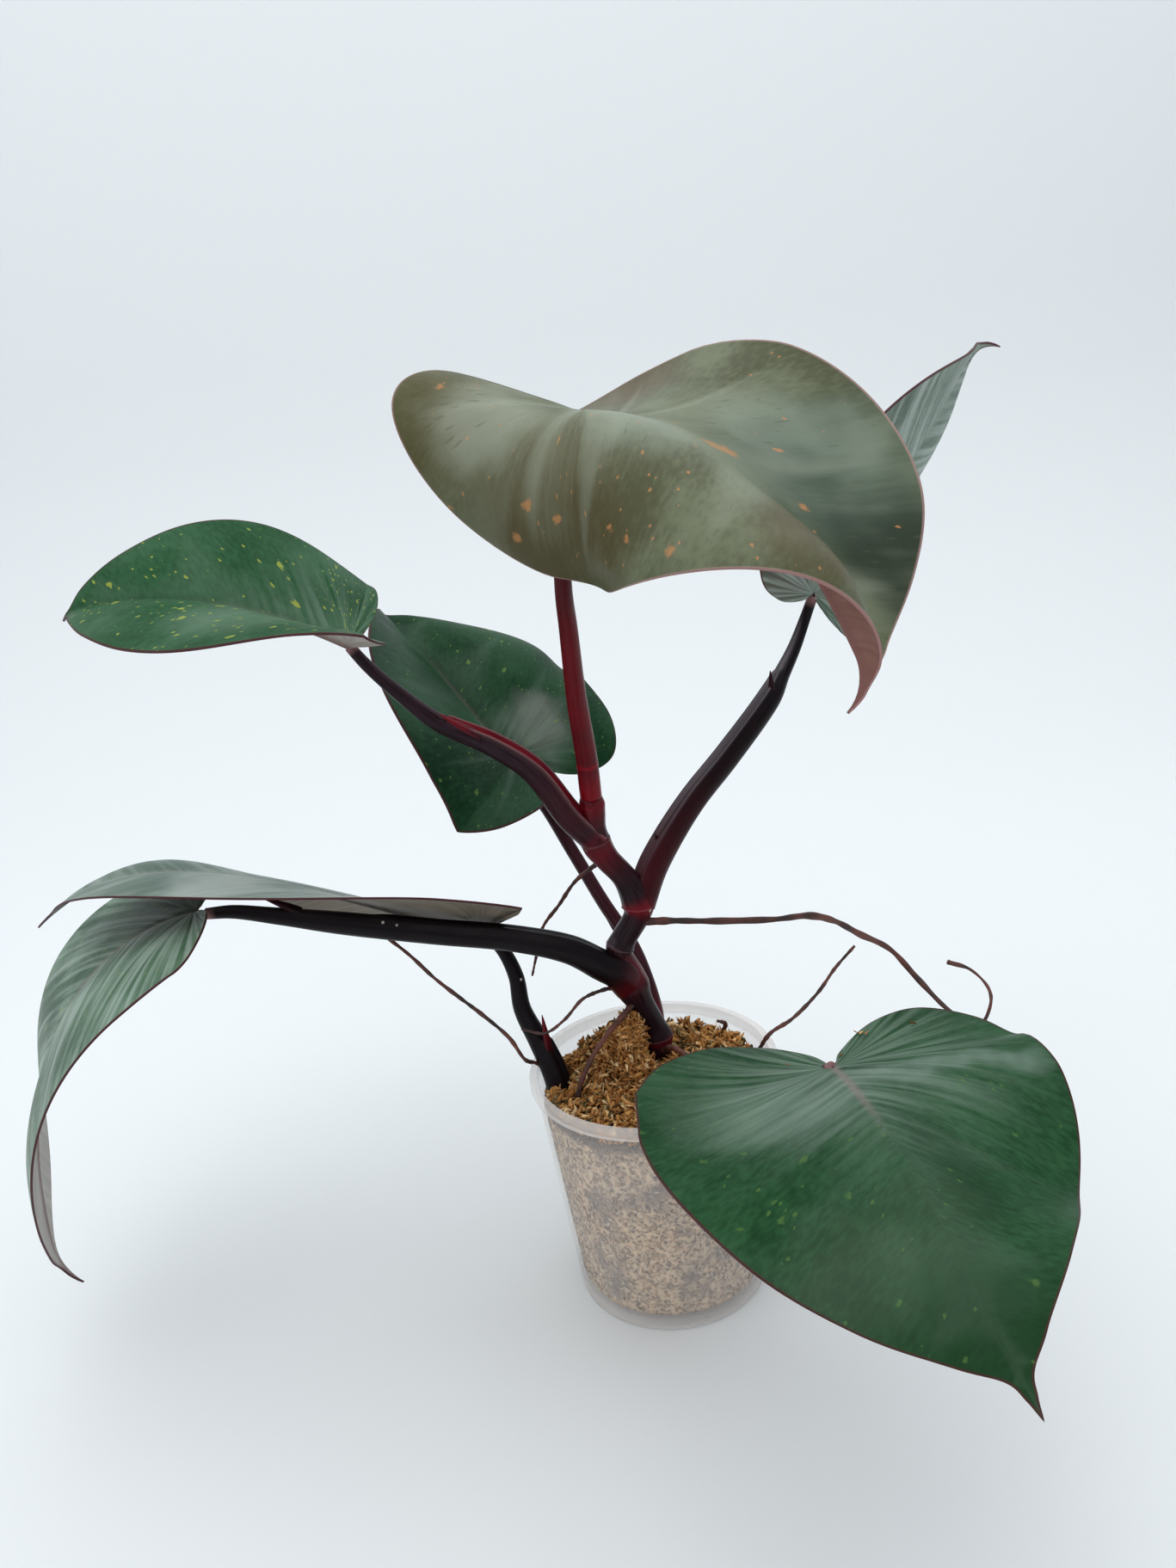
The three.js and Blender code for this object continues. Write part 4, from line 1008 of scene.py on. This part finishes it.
def add_blush(piece, spots, wings=0.0, rings=(), collar=0.0):
    """Works out how far each vertex blushes, is pale, or takes the painted highlight."""
    share = recall(piece, "share")
    angle = recall(piece, "turn")
    blush = np.zeros(len(share))
    for at, width, strength in spots:
        blush = np.maximum(blush, strength * np.exp(-((share - at) / width) ** 2))
    pale = collar * np.clip((share - COLLAR_START) / COLLAR_EASE, 0, 1)
    if wings:
        inside = np.exp(-(angle / (WING_ANGLE * INSIDE_WIDTH)) ** 4) * (share < wings)
        blush = np.maximum(blush, INSIDE_BLUSH * inside)
        crest = CREST_PALE * np.exp(-((np.abs(angle) - WING_ANGLE) / CREST_WIDTH) ** 2)
        pale = np.maximum(pale, crest * (share < wings))
    for at in rings:
        pale = np.maximum(pale, SCAR_PALE * np.exp(-((share - at) / SCAR_WIDTH) ** 2))
    # the painted highlight, brightest where the skin faces the light
    normals = np.empty(len(share) * 3)
    piece.data.vertex_normals.foreach_get("vector", normals)
    painted_highlight = np.clip(normals.reshape(-1, 3) @ LIGHT_WAY, 0, 1) ** HIGHLIGHT_EDGE
    store(piece, "blush", blush)
    store(piece, "pale", pale)
    store(piece, "painted_highlight", painted_highlight)


# petiole_c turns its open sheath to the viewer, so only there does the crimson inside show
STALK_LOOKS = {"petiole_c": plum, "petiole_e": plum, "petiole_d": crimson_stalk}
for name, stalk in stalks.items():
    wings = SHEATHS[name]["to"] if name == "petiole_c" else 0.0
    add_blush(stalk, BLUSHES[name], wings, collar=COLLAR_PALE)
    finish_piece(stalk, [STALK_LOOKS.get(name, aubergine)], name)
for name, tooth in teeth:
    add_blush(tooth, [(0.7, 0.5, TOOTH_BLUSH[name])])
    finish_piece(tooth, [STALK_LOOKS.get(name, aubergine)], name)
add_blush(stem, STEM_BLUSHES, rings=STEM_RINGS)
finish_piece(stem, [stem_bark], "stem")
print("stalk pieces:", len(stalks) + len(teeth) + 1)

# %% [markdown]
# ## Aerial roots
# Wiry reddish-brown roots leave the stem's nodes. They wander and kink, and their thickness
# changes a little all along. Each is a tube through the same stations as its solid.

# %% Build the roots
ROOTS = {
    "root_right": [(3, 9, 135.5, 1.3), (12, 6, 136, 1.2), (26, 4, 135, 1.1), (47, 4, 133, 1.1),
                   (60, 8, 131, 1.2), (70, 14, 125, 1.2), (80, 20, 116, 1.1), (93, 26, 105, 1.1),
                   (101, 20, 95, 1), (108, 8, 88, 0.9), (114, -6, 88, 0.8), (118, -7, 97, 0.6),
                   (119, -2, 100.5, 0.55), (115, 4, 105, 0.55), (107, 4, 109, 0.9)],
    "root_rim_right": [(34, 5, 70, 0.8), (38, 4, 82, 0.8), (42.5, 2, 90.2, 0.75),
                       (51, 5, 93.2, 0.7), (62, 10, 100, 0.65), (69, 13, 107, 0.6),
                       (77, 15, 114, 0.5)],
    "root_back": [(-8, 13, 159, 0.9), (-13, 17, 155, 0.8), (-20, 20, 149, 0.7),
                  (-27, 24, 139, 0.7), (-34, 26, 130, 0.6), (-38, 26, 118, 0.5),
                  (-40, 25, 112, 0.4)],
    "root_left": [(-90, 12, 142, 0.6), (-80, 7, 134, 0.65), (-72, 3, 126, 0.65),
                  (-64, 0, 119, 0.7), (-57, -1, 112, 0.7), (-49, -1, 102, 0.7),
                  (-44.5, 0, 92, 0.7), (-41, 3, 88.4, 0.7), (-37.5, 8, 80, 0.7),
                  (-36, 12, 70, 0.7)],
    "root_front_left": [(-11, 8, 112, 0.8), (-15, 3, 114, 0.7), (-22, -2, 114, 0.6),
                        (-29, -6, 109, 0.55), (-36, -8, 106, 0.5), (-44, -5, 107, 0.4)],
    "root_front": [(-5, 9, 104, 1.1), (-10, 3, 102, 1), (-17, -4, 98, 0.9), (-23, -8, 91, 0.9),
                   (-27, -10, 83, 0.9), (-28, -11, 70, 0.9)],
    "root_short": [(4, 10, 84, 1.2), (8, 5, 87, 1.1), (13, 0, 85, 1), (16, -3, 79, 1),
                   (17, -4, 70, 1)],
    "root_stub": [(27, 24, 70, 0.8), (28, 24, 80, 0.8), (29, 22, 85, 0.8), (26, 21, 87, 0.5)],
}


def root_shape(angle, share):
    """A root's thickness wanders in two waves, and its skin has three slight ridges."""
    return 1 + 0.12 * np.sin(47 * share) + 0.08 * np.sin(131 * share + 1) + 0.05 * np.sin(3 * angle)


ROOT_SIDES = 12
RINGS_BETWEEN = 30       # rings of faces between two stations
roots = {}
for name, stations in ROOTS.items():
    rings = RINGS_BETWEEN * (len(stations) - 1)
    roots[name] = tube(name + "_skin", stations, ROOT_SIDES, rings, shape=root_shape)
print("root faces:", sum(len(r.data.polygons) for r in roots.values()))

# %% Root skin
ROOT_PATCHES = 120.0     # for each metre: patches 8 mm wide
ROOT_GRIT = 900.0        # for each metre: bumps 1 mm wide


def root_skin(name):
    """Corky root skin: reddish brown, darker in patches, almost matt."""
    material, tree = new_material(name)
    spot = add(tree, "TexCoord").outputs["Object"]
    patches = add(tree, "TexNoise", {
        "Vector": spot, "Scale": ROOT_PATCHES, "Detail": 5.0}).outputs["Fac"]
    skin = lay(tree, colour("2a1714"), "6a382b", patches, (0.36, 0.64))
    grit = add(tree, "TexNoise", {"Vector": spot, "Scale": ROOT_GRIT, "Detail": 3.0}).outputs["Fac"]
    bump = add(tree, "Bump", {"Height": grit, "Strength": 0.5, "Distance": 0.2 * MM}).outputs[0]
    show(tree, Base_Color=skin, Roughness=0.55, Normal=bump)
    return material


corky = root_skin("corky_root_skin")
for name, root in roots.items():
    finish_piece(root, [corky], name)
print("roots:", len(roots))

# %% [markdown]
# ## The pot
# A clear nursery pot is blown or moulded from thin polypropylene. It is a cup with a rolled rim,
# and a foot ring, a raised drain channel and a pad under its floor. Its section is one closed
# line, so the section is drawn once and spun round the axis, which is how a lathe hand thinks.
# Four cylinders then cut the drain holes in the channel.

# %% Draw the pot's section
RIM_RADIUS = 44
NECK_RADIUS = 42.2
FOOT_RADIUS = 34.6
POT_HEIGHT = 86.4
LIP_HEIGHT = 4
WALL = 1.1
FLOOR = 5
PAD_RADIUS = 11
CHANNEL_HEIGHT = 3.6
CHANNEL_SLOPE = 2        # how far the channel's inner side leans
FOOT_WIDTH = 3
FOOT_ROUND = 0.6
LIP_ROUND = 0.8
MOULD_LINE = 0.35        # depth of the fine groove low on the wall
MOULD_BEAD = 0.25        # height of the fine bead under the rim
GAP = 0.3                # between the pot and the moss

under_lip = POT_HEIGHT - LIP_HEIGHT
neck_in = NECK_RADIUS - WALL
foot_in = FOOT_RADIUS - WALL
channel_in = PAD_RADIUS + CHANNEL_SLOPE
channel_out = FOOT_RADIUS - FOOT_WIDTH


def wall_radius(z):
    """The outside of the wall at a height."""
    return FOOT_RADIUS + (NECK_RADIUS - FOOT_RADIUS) * z / under_lip


pot_profile = [
    (0, 0), (PAD_RADIUS, 0), (channel_in, CHANNEL_HEIGHT), (channel_out - 1, CHANNEL_HEIGHT),
    (channel_out, 0), (FOOT_RADIUS - FOOT_ROUND, 0), (FOOT_RADIUS, FOOT_ROUND),
    (wall_radius(5.4), 5.4), (wall_radius(5.8) - MOULD_LINE, 5.8),
    (wall_radius(6.6) - MOULD_LINE, 6.6), (wall_radius(7), 7),
    (wall_radius(40), 40), (wall_radius(79), 79), (wall_radius(79.6) + MOULD_BEAD, 79.6),
    (wall_radius(80.4) + MOULD_BEAD, 80.4), (wall_radius(81), 81), (NECK_RADIUS, under_lip),
    (RIM_RADIUS - LIP_ROUND, under_lip), (RIM_RADIUS - 0.2, under_lip + 0.2),
    (RIM_RADIUS, under_lip + LIP_ROUND), (RIM_RADIUS, POT_HEIGHT - LIP_ROUND),
    (RIM_RADIUS - 0.25, POT_HEIGHT - 0.25), (RIM_RADIUS - LIP_ROUND, POT_HEIGHT),
    (neck_in + LIP_ROUND, POT_HEIGHT), (neck_in + 0.2, POT_HEIGHT - 0.2),
    (neck_in, POT_HEIGHT - LIP_ROUND),
    (neck_in, under_lip), (foot_in + 0.1, FLOOR + 1.5), (foot_in - 0.5, FLOOR + 0.5),
    (foot_in - 1.5, FLOOR), (0, FLOOR),
]
bpy.ops.object.select_all(action="DESELECT")
bpy.ops.mesh.primitive_circle_add(vertices=len(pot_profile), radius=1)
pot = bpy.context.object
pot.name = "pot_wall"
place_points(pot, [(r * MM, 0, z * MM) for r, z in pot_profile])
print("points in the section:", len(pot_profile))

# %% Spin the section
POT_STEPS = 120
# the line that runs down the axis would make a needle of faces, so it goes first
bpy.ops.object.mode_set(mode="EDIT")
bpy.ops.mesh.select_all(action="DESELECT")
bpy.ops.object.mode_set(mode="OBJECT")
for line in pot.data.edges:
    line.select = all(abs(pot.data.vertices[v].co.x) < MERGE for v in line.vertices)
bpy.ops.object.mode_set(mode="EDIT")
bpy.ops.mesh.delete(type="EDGE")
bpy.ops.object.mode_set(mode="OBJECT")
round_axis = dict(steps=POT_STEPS, angle=2 * math.pi, center=(0, 0, 0), axis=(0, 0, 1))
edit(pot, (bpy.ops.mesh.spin, round_axis),
     (bpy.ops.mesh.remove_doubles, {"threshold": MERGE}),
     (bpy.ops.mesh.normals_make_consistent, {"inside": False}))
print("turned pot faces:", len(pot.data.polygons))

# %% Cut the drain holes
DRAIN_HOLES = 4
DRAIN_RADIUS = 3
DRAIN_SIDES = 32
reach = (channel_in + channel_out) / 2
for hole in range(DRAIN_HOLES):
    angle = math.pi * (2 * hole + 1) / DRAIN_HOLES
    bpy.ops.object.select_all(action="DESELECT")
    bpy.ops.mesh.primitive_cylinder_add(
        vertices=DRAIN_SIDES, radius=DRAIN_RADIUS * MM, depth=3 * FLOOR * MM,
        location=(reach * math.cos(angle) * MM, reach * math.sin(angle) * MM, FLOOR * MM))
    drill = bpy.context.object
    cut = pot.modifiers.new("drain hole", "BOOLEAN")
    cut.object = drill
    cut.operation = "DIFFERENCE"
    cut.solver = "EXACT"
    bpy.context.view_layer.objects.active = pot
    bpy.ops.object.modifier_apply(modifier=cut.name)
    bpy.data.objects.remove(drill)
print("pot faces:", len(pot.data.polygons))

# %% [markdown]
# ## Pot plastic
# Clear polypropylene is never quite clear: light scatters in it, so what lies behind is veiled
# in a milky white, most of all at the rim, where the eye looks through more of it. A scattering
# film is drawn here as a partly transparent white with a gloss, which lets light through to the
# moss. A refracting glass would leave the moss behind it dark.

# %% Milky polypropylene
SMEARS = 30.0            # for each metre: smears 33 mm wide
plastic, tree = new_material("blown_polypropylene_clear")
spot = add(tree, "TexCoord").outputs["Object"]
height = add(tree, "SeparateXYZ", {0: spot}).outputs["Z"]
smears = add(tree, "TexNoise", {"Vector": spot, "Scale": SMEARS, "Detail": 4.0}).outputs["Fac"]
facing = add(tree, "LayerWeight", {"Blend": 0.3}).outputs["Facing"]
veil = add(tree, "MapRange", {
    "Value": smears, "From Min": 0.3, "From Max": 0.7, "To Min": 0.07, "To Max": 0.15}).outputs[0]
rim = add(tree, "MapRange", {
    "Value": height, "From Min": 0.0815, "From Max": 0.0828, "To Max": 0.2}).outputs[0]
skirt = add(tree, "MapRange", {
    "Value": height, "From Min": 0.006, "From Max": 0.0045, "To Max": 0.12}).outputs[0]
grazing = add(tree, "Math", {0: facing, 1: 0.16}, operation="MULTIPLY").outputs[0]
veil = add(tree, "Math", {0: veil, 1: rim}, operation="ADD").outputs[0]
veil = add(tree, "Math", {0: veil, 1: skirt}, operation="ADD").outputs[0]
veil = add(tree, "Math", {0: veil, 1: grazing}, operation="ADD", use_clamp=True).outputs[0]
show(tree, Base_Color=colour("fbf4ef"), Roughness=0.18, IOR=1.49, Alpha=veil)
finish_piece(pot, [plastic], "pot")

# the rolled rim is round, while the foot and the channel keep their edges
EDGE_ANGLE = math.radians(40)
bpy.ops.object.select_all(action="DESELECT")
pot.select_set(True)
bpy.context.view_layer.objects.active = pot
bpy.ops.object.shade_smooth_by_angle(angle=EDGE_ANGLE)
pot.select_set(False)
print("pot plastic ready")

# %% [markdown]
# ## Moss
# The pot is packed with sphagnum, sold dried in shreds. A plain bed gives it its mass, and its
# look comes from thousands of small curled shreds on top of it, heaped against the stem and
# pressed on the inside of the pot. A shred is a sphere of a few faces, and each copy of it is
# drawn out, curled, turned and sized at random, with a fixed seed. The copies are gathered in
# one mesh for each heap.

# %% Moss bed
MOSS_LEVEL = 77
MOSS_RADIUS = 40
MOUNDS = [(-6, 24, 10, 8), (26, 12, 3, 9)]    # x, y, height and spread of each mound
BED_RINGS = 60
BED_SIDES = 120
WALL_SHARE = 0.5         # share of the rings that lie along the wall
SHRED_ROOM = 0.7         # left free at the wall for pressed shreds
BED_DROP = 0.8           # the bed lies this far under the shreds' level


def moss_height(x, y):
    """Height of the bed at a place: a level with gentle waves and its mounds."""
    height = MOSS_LEVEL + 1.3 * np.sin(0.42 * x + 1) * np.cos(0.37 * y)
    height = height + 0.8 * np.sin(0.9 * x - 0.7 * y)
    for at_x, at_y, rise, spread in MOUNDS:
        height = height + rise * np.exp(-((x - at_x) ** 2 + (y - at_y) ** 2) / (2 * spread ** 2))
    return height


bed = new_grid("moss_bed", BED_SIDES, BED_RINGS)
flat = read_points(bed)
turned = 2 * math.pi * (flat[:, 0] + 0.5)
depth = flat[:, 1] + 0.5                       # 0 at the foot of the wall, 1 at the bed's middle
level = np.clip(depth / WALL_SHARE, 0, 1)
inward = np.clip((depth - WALL_SHARE) / (1 - WALL_SHARE), 0, 1)
foot = FLOOR + GAP
z = foot + level * (MOSS_LEVEL - foot)
radius = (wall_radius(z) - WALL - GAP - SHRED_ROOM) * (1 - inward)
x = radius * np.cos(turned)
y = radius * np.sin(turned)
z = np.where(inward > 0, moss_height(x, y) - BED_DROP, z)
crumbly = 0.5 * np.sin(3.1 * x) * np.sin(2.7 * y) + 0.4 * np.sin(5.3 * x + 2.1 * y)
z = z + crumbly * (inward > 0.02)
place_points(bed, np.stack([x, y, z], -1) * MM)
close_up(bed)
print("bed faces:", len(bed.data.polygons))

# %% Moss shreds
FLATNESS = 0.4           # thickness of a shred, as a share of its width
bpy.ops.object.select_all(action="DESELECT")
bpy.ops.mesh.primitive_uv_sphere_add(segments=3, ring_count=5, radius=0.5)
shred = bpy.context.object
SHRED_POINTS = np.array([tuple(v.co) for v in shred.data.vertices])
SHRED_FACES = [tuple(p.vertices) for p in shred.data.polygons]
bpy.data.objects.remove(shred)


def scatter(name, places, ways, lengths, widths, curls, seed):
    """Copies of the shred at these places, drawn out along these ways, in one mesh."""
    rng = np.random.default_rng(seed)
    points = []
    faces = []
    for place, way, length, width, curl in zip(places, ways, lengths, widths, curls):
        way = way / np.linalg.norm(way)
        aside = np.cross(way, rng.normal(size=3))
        aside /= np.linalg.norm(aside)
        over = np.cross(way, aside)
        along = SHRED_POINTS[:, 2]
        bent = curl * (along ** 2 - 0.08) * length
        body = (np.outer(along * length, way)
                + np.outer(SHRED_POINTS[:, 0] * width + bent, aside)
                + np.outer(SHRED_POINTS[:, 1] * width * FLATNESS, over))
        start = len(points) * len(SHRED_POINTS)
        points.append(place + body)
        faces += [tuple(start + v for v in face) for face in SHRED_FACES]
    mesh = bpy.data.meshes.new(name)
    mesh.from_pydata(np.concatenate(points) * MM, [], faces)
    piece = bpy.data.objects.new(name, mesh)
    bpy.context.scene.collection.objects.link(piece)
    store(piece, "shade", np.repeat(rng.random(len(places)), len(SHRED_POINTS)))
    return piece


# %% Heaps of shreds
STREWN = 0.985           # share of the moss's radius that shreds are strewn over
CLUMP_PULL = 0.9         # how strongly they gather on the clumps
PUFF = 2.8               # how far a clump is puffed up
LOOSE_CURL = 2.2
PRESSED_CURL = 0.5
TUFT_FOOT = (-11, 2, 77, 13)    # x, y, z and radius of the tuft heaped against the stem
TUFT_TOP = (-6.5, 6.5, 101, 2.5)


def clumps(x, y):
    """How far the bed is puffed up into clumps at a place, from 0 to 1."""
    wave = np.sin(0.55 * x + 1.1 * np.sin(0.31 * y)) * np.sin(0.6 * y + 1.3 * np.sin(0.27 * x))
    return 0.5 + 0.5 * wave


def bed_shreds(name, count, seed, length, width, lift):
    """Shreds strewn over the top of the bed, more and higher on its clumps."""
    rng = np.random.default_rng(seed)
    radius = MOSS_RADIUS * np.sqrt(rng.random(3 * count)) * STREWN
    angle = rng.random(3 * count) * 2 * math.pi
    x, y = radius * np.cos(angle), radius * np.sin(angle)
    kept = np.argsort(rng.random(3 * count) - CLUMP_PULL * clumps(x, y))[:count]
    x, y, radius = x[kept], y[kept], radius[kept]
    rise = rng.uniform(-0.6, lift, count) + PUFF * clumps(x, y) * rng.random(count)
    places = np.stack([x, y, moss_height(x, y) + rise], -1)
    ways = rng.normal(size=(count, 3)) * (1, 1, 0.9)
    lengths = length * rng.uniform(0.3, 1.4, count)
    inner = MOSS_RADIUS - 0.6 * lengths         # long shreds keep off the wall
    scale = np.minimum(1, inner / np.maximum(radius, 1))
    places[:, :2] *= scale[:, None]
    return scatter(name, places, ways, lengths, width * rng.uniform(0.6, 1.5, count),
                   rng.uniform(-LOOSE_CURL, LOOSE_CURL, count), seed + 1)


def wall_shreds(name, count, seed, length, width):
    """Shreds pressed flat against the inside of the pot's wall."""
    rng = np.random.default_rng(seed)
    z = rng.uniform(FLOOR + 2, MOSS_LEVEL - 1, count)
    angle = rng.random(count) * 2 * math.pi
    radius = wall_radius(z) - WALL - GAP - SHRED_ROOM / 2
    places = np.stack([radius * np.cos(angle), radius * np.sin(angle), z], -1)
    lean = rng.normal(size=count)
    round_way = np.stack([-np.sin(angle), np.cos(angle), 0 * z], -1)
    ways = round_way * rng.normal(size=(count, 1)) + np.array([0, 0, 1]) * lean[:, None]
    return scatter(name, places, ways, length * rng.uniform(0.5, 1.4, count),
                   width * rng.uniform(0.6, 1.4, count),
                   rng.uniform(-PRESSED_CURL, PRESSED_CURL, count), seed + 1)


def tuft_shreds(name, count, seed, length, width):
    """Shreds heaped up against the front of the stem, in a ragged cone."""
    rng = np.random.default_rng(seed)
    rise = rng.random(count) ** 1.5
    foot, top = np.array(TUFT_FOOT), np.array(TUFT_TOP)
    spine = foot + (top - foot) * rise[:, None]
    angle = rng.random(count) * 2 * math.pi
    ragged = 0.35 + 0.65 * rng.random(count) ** 0.5 + 0.12 * np.sin(5 * angle + 9 * rise)
    radius = spine[:, 3] * ragged
    places = spine[:, :3] + np.stack([radius * np.cos(angle), radius * np.sin(angle), 0 * rise], -1)
    ways = rng.normal(size=(count, 3)) * (1, 1, 1.2)
    return scatter(name, places, ways, length * rng.uniform(0.5, 1.4, count),
                   width * rng.uniform(0.5, 1.3, count),
                   rng.uniform(-LOOSE_CURL, LOOSE_CURL, count), seed + 1)


# how many, the seed, then length, width and lift in millimetres
golden = bed_shreds("moss_shreds_golden", 4000, 11, 4.8, 2.1, 1.8)
olive = bed_shreds("moss_shreds_olive", 1100, 23, 4.6, 2.0, 1.6)
tuft = tuft_shreds("moss_shreds_tuft", 1700, 53, 4.8, 2.0)
pressed = wall_shreds("moss_shreds_pressed", 8000, 37, 1.9, 0.5)
CRUMBS = np.array([              # caught on the lowest leaf
    (57.3, -73.4, 130.6), (58.6, -74, 130.7), (56, -72.6, 130.5), (72.7, -71.1, 130.6),
    (49.8, -80.6, 128.5), (34.9, -78.7, 126.4),
])
crumb_ways = np.random.default_rng(61).normal(size=CRUMBS.shape) * (1, 1, 0.3)
crumbs = scatter("moss_crumbs", CRUMBS, crumb_ways, [3.2, 2.4, 2, 2.2, 1.8, 1.4],
                 [1.2, 1, 0.8, 1, 0.8, 0.7], [PRESSED_CURL] * len(CRUMBS), 62)
for pile in (golden, olive, tuft, pressed, crumbs):
    print(pile.name, len(pile.data.polygons) // len(SHRED_FACES))

# %% [markdown]
# ## Moss colour
# Dry sphagnum is straw to golden brown, olive where it is older, and almost black in the shaded
# gaps. Each shred has a random shade of its own, kept as one number on all of its vertices. The bed
# under the shreds shows through the pot as a mash of tan and grey-violet, with pale fibres in
# it, and its top is painted dark, a painted shade for the gaps between the shreds.

# %% Packed moss
LUMPS = 420.0            # for each metre: lumps 2.4 mm wide
DARK_PATCHES = 70.0      # patches 14 mm wide
FIBRE_CELLS = 620.0      # cells 1.6 mm wide
soil, tree = new_material("packed_sphagnum")
spot = add(tree, "TexCoord").outputs["Object"]
height = add(tree, "SeparateXYZ", {0: spot}).outputs["Z"]
lumps = add(tree, "TexNoise", {"Vector": spot, "Scale": LUMPS, "Detail": 6.0}).outputs["Fac"]
patches = add(tree, "TexNoise", {"Vector": spot, "Scale": DARK_PATCHES, "Detail": 3.0}).outputs["Fac"]
fibres = add(tree, "TexVoronoi", {"Vector": spot, "Scale": FIBRE_CELLS}).outputs["Distance"]
skin = lay(tree, colour("584438"), "d6b089", lumps, (0.38, 0.6))
skin = lay(tree, skin, "f6deba", fibres, (0.3, 0.62), 0.75)
skin = lay(tree, skin, "4c4047", patches, (0.56, 0.68), 0.7)
# painted shade: the top of the bed is darkened as the shaded gaps between the shreds are
skin = lay(tree, skin, "2e1c10", height, (0.0735, 0.0755), 0.85)
bump = add(tree, "Bump", {"Height": lumps, "Strength": 0.8, "Distance": 1.0 * MM}).outputs[0]
show(tree, Base_Color=skin, Roughness=0.9, Normal=bump, Specular_IOR_Level=0.1)
finish_piece(bed, [soil], "moss")
print("packed moss ready")

# %% Dried fibres
FIBRE_GRAIN = 700.0      # for each metre: grains 1.4 mm wide


def moss_fibre(name, dark, light, pale):
    """Dried sphagnum fibre: matt, its colour different from shred to shred."""
    material, tree = new_material(name)
    spot = add(tree, "TexCoord").outputs["Object"]
    shade = add(tree, "Attribute", attribute_name="shade").outputs["Fac"]
    skin = lay(tree, colour(dark), light, shade)
    skin = lay(tree, skin, pale, shade, (0.75, 1.0))
    grain = add(tree, "TexNoise", {"Vector": spot, "Scale": FIBRE_GRAIN, "Detail": 3.0}).outputs["Fac"]
    mottle = add(tree, "MapRange", {
        "Value": grain, "From Min": 0.3, "From Max": 0.7, "To Min": 0.6, "To Max": 1.15}).outputs[0]
    skin = add(tree, "VectorMath", {0: skin, "Scale": mottle}, operation="SCALE").outputs[0]
    show(tree, Base_Color=skin, Roughness=0.85, Specular_IOR_Level=0.2)
    return material


golden_fibre = moss_fibre("sphagnum_golden", "935e2e", "efb56c", "ffe2ae")
olive_fibre = moss_fibre("sphagnum_olive", "453a20", "96845a", "c4b583")
pressed_fibre = moss_fibre("sphagnum_pressed", "6e5341", "e3c094", "fff4dc")
for pile in (golden, tuft, crumbs):
    finish_piece(pile, [golden_fibre])
finish_piece(olive, [olive_fibre])
finish_piece(pressed, [pressed_fibre])
print("fibre materials: 3")

# %% [markdown]
# ## Light and backdrop
# The plant stands on a white sheet in daylight. A large soft light above on the left stands for
# the window, and a smaller one above on the right for the light that comes off the ceiling. A
# fill above the viewer, a bright surround and a pale sheet that curves up behind the plant keep
# the shadows faint.

# %% Backdrop
SHEET = 3.0              # metres across
SHEET_RISE = 1.8         # metres that the sheet is longer than it is wide
SHEET_ROWS = 60
SHEET_DROP = 0.0002      # metres that it lies under the pot, so that the two faces don't meet
BEND_AT = 0.55           # where the sheet starts to rise, behind the plant
BEND_RADIUS = 0.35
backdrop = new_grid("backdrop", 2, SHEET_ROWS)
flat = read_points(backdrop)
run = (flat[:, 1] + 0.5) * (SHEET + SHEET_RISE) - SHEET / 2
quarter = BEND_RADIUS * math.pi / 2
bent = np.clip((run - BEND_AT) / quarter, 0, 1) * math.pi / 2
risen = np.maximum(run - BEND_AT - quarter, 0)
sheet_y = np.minimum(run, BEND_AT) + BEND_RADIUS * np.sin(bent)
sheet_z = BEND_RADIUS * (1 - np.cos(bent)) + risen
place_points(backdrop, np.stack([flat[:, 0] * SHEET, sheet_y, sheet_z - SHEET_DROP], -1))
smooth(backdrop)
paper, tree = new_material("matt_white_sheet")
show(tree, Base_Color=colour("e8eced"), Roughness=0.8)
backdrop.data.materials.append(paper)
print("backdrop ready")

# %% Lights
PLANT_MIDDLE = (-0.02, 0, 0.16)
BEFORE_POT = (0, -0.2, 0)
ROOM_LIGHT = 0.52


def soft_light(name, place, aim, size, power, tint):
    """A square area light at a place, aimed at a point, in metres and watts."""
    lamp = bpy.data.lights.new(name, "AREA")
    lamp.size = size
    lamp.energy = power
    lamp.color = colour(tint)[:3]
    light = bpy.data.objects.new(name, lamp)
    light.location = place
    light.rotation_euler = (Vector(aim) - Vector(place)).to_track_quat("-Z", "Y").to_euler()
    bpy.context.scene.collection.objects.link(light)


soft_light("window", (-0.7, 0, 1.4), PLANT_MIDDLE, 2.0, 11, "ffffff")
soft_light("ceiling", (0.5, 0.2, 1.5), PLANT_MIDDLE, 1.6, 8.5, "fafdfd")
soft_light("front_fill", (0.1, -0.9, 1.5), BEFORE_POT, 1.6, 7.5, "fffdfa")
world = bpy.data.worlds.new("pale_room")
world.use_nodes = True
world.node_tree.nodes["Background"].inputs["Color"].default_value = colour("e8edf6")
world.node_tree.nodes["Background"].inputs["Strength"].default_value = ROOM_LIGHT
bpy.context.scene.world = world
bpy.context.scene.view_settings.view_transform = "Standard"
print("lights: 3")
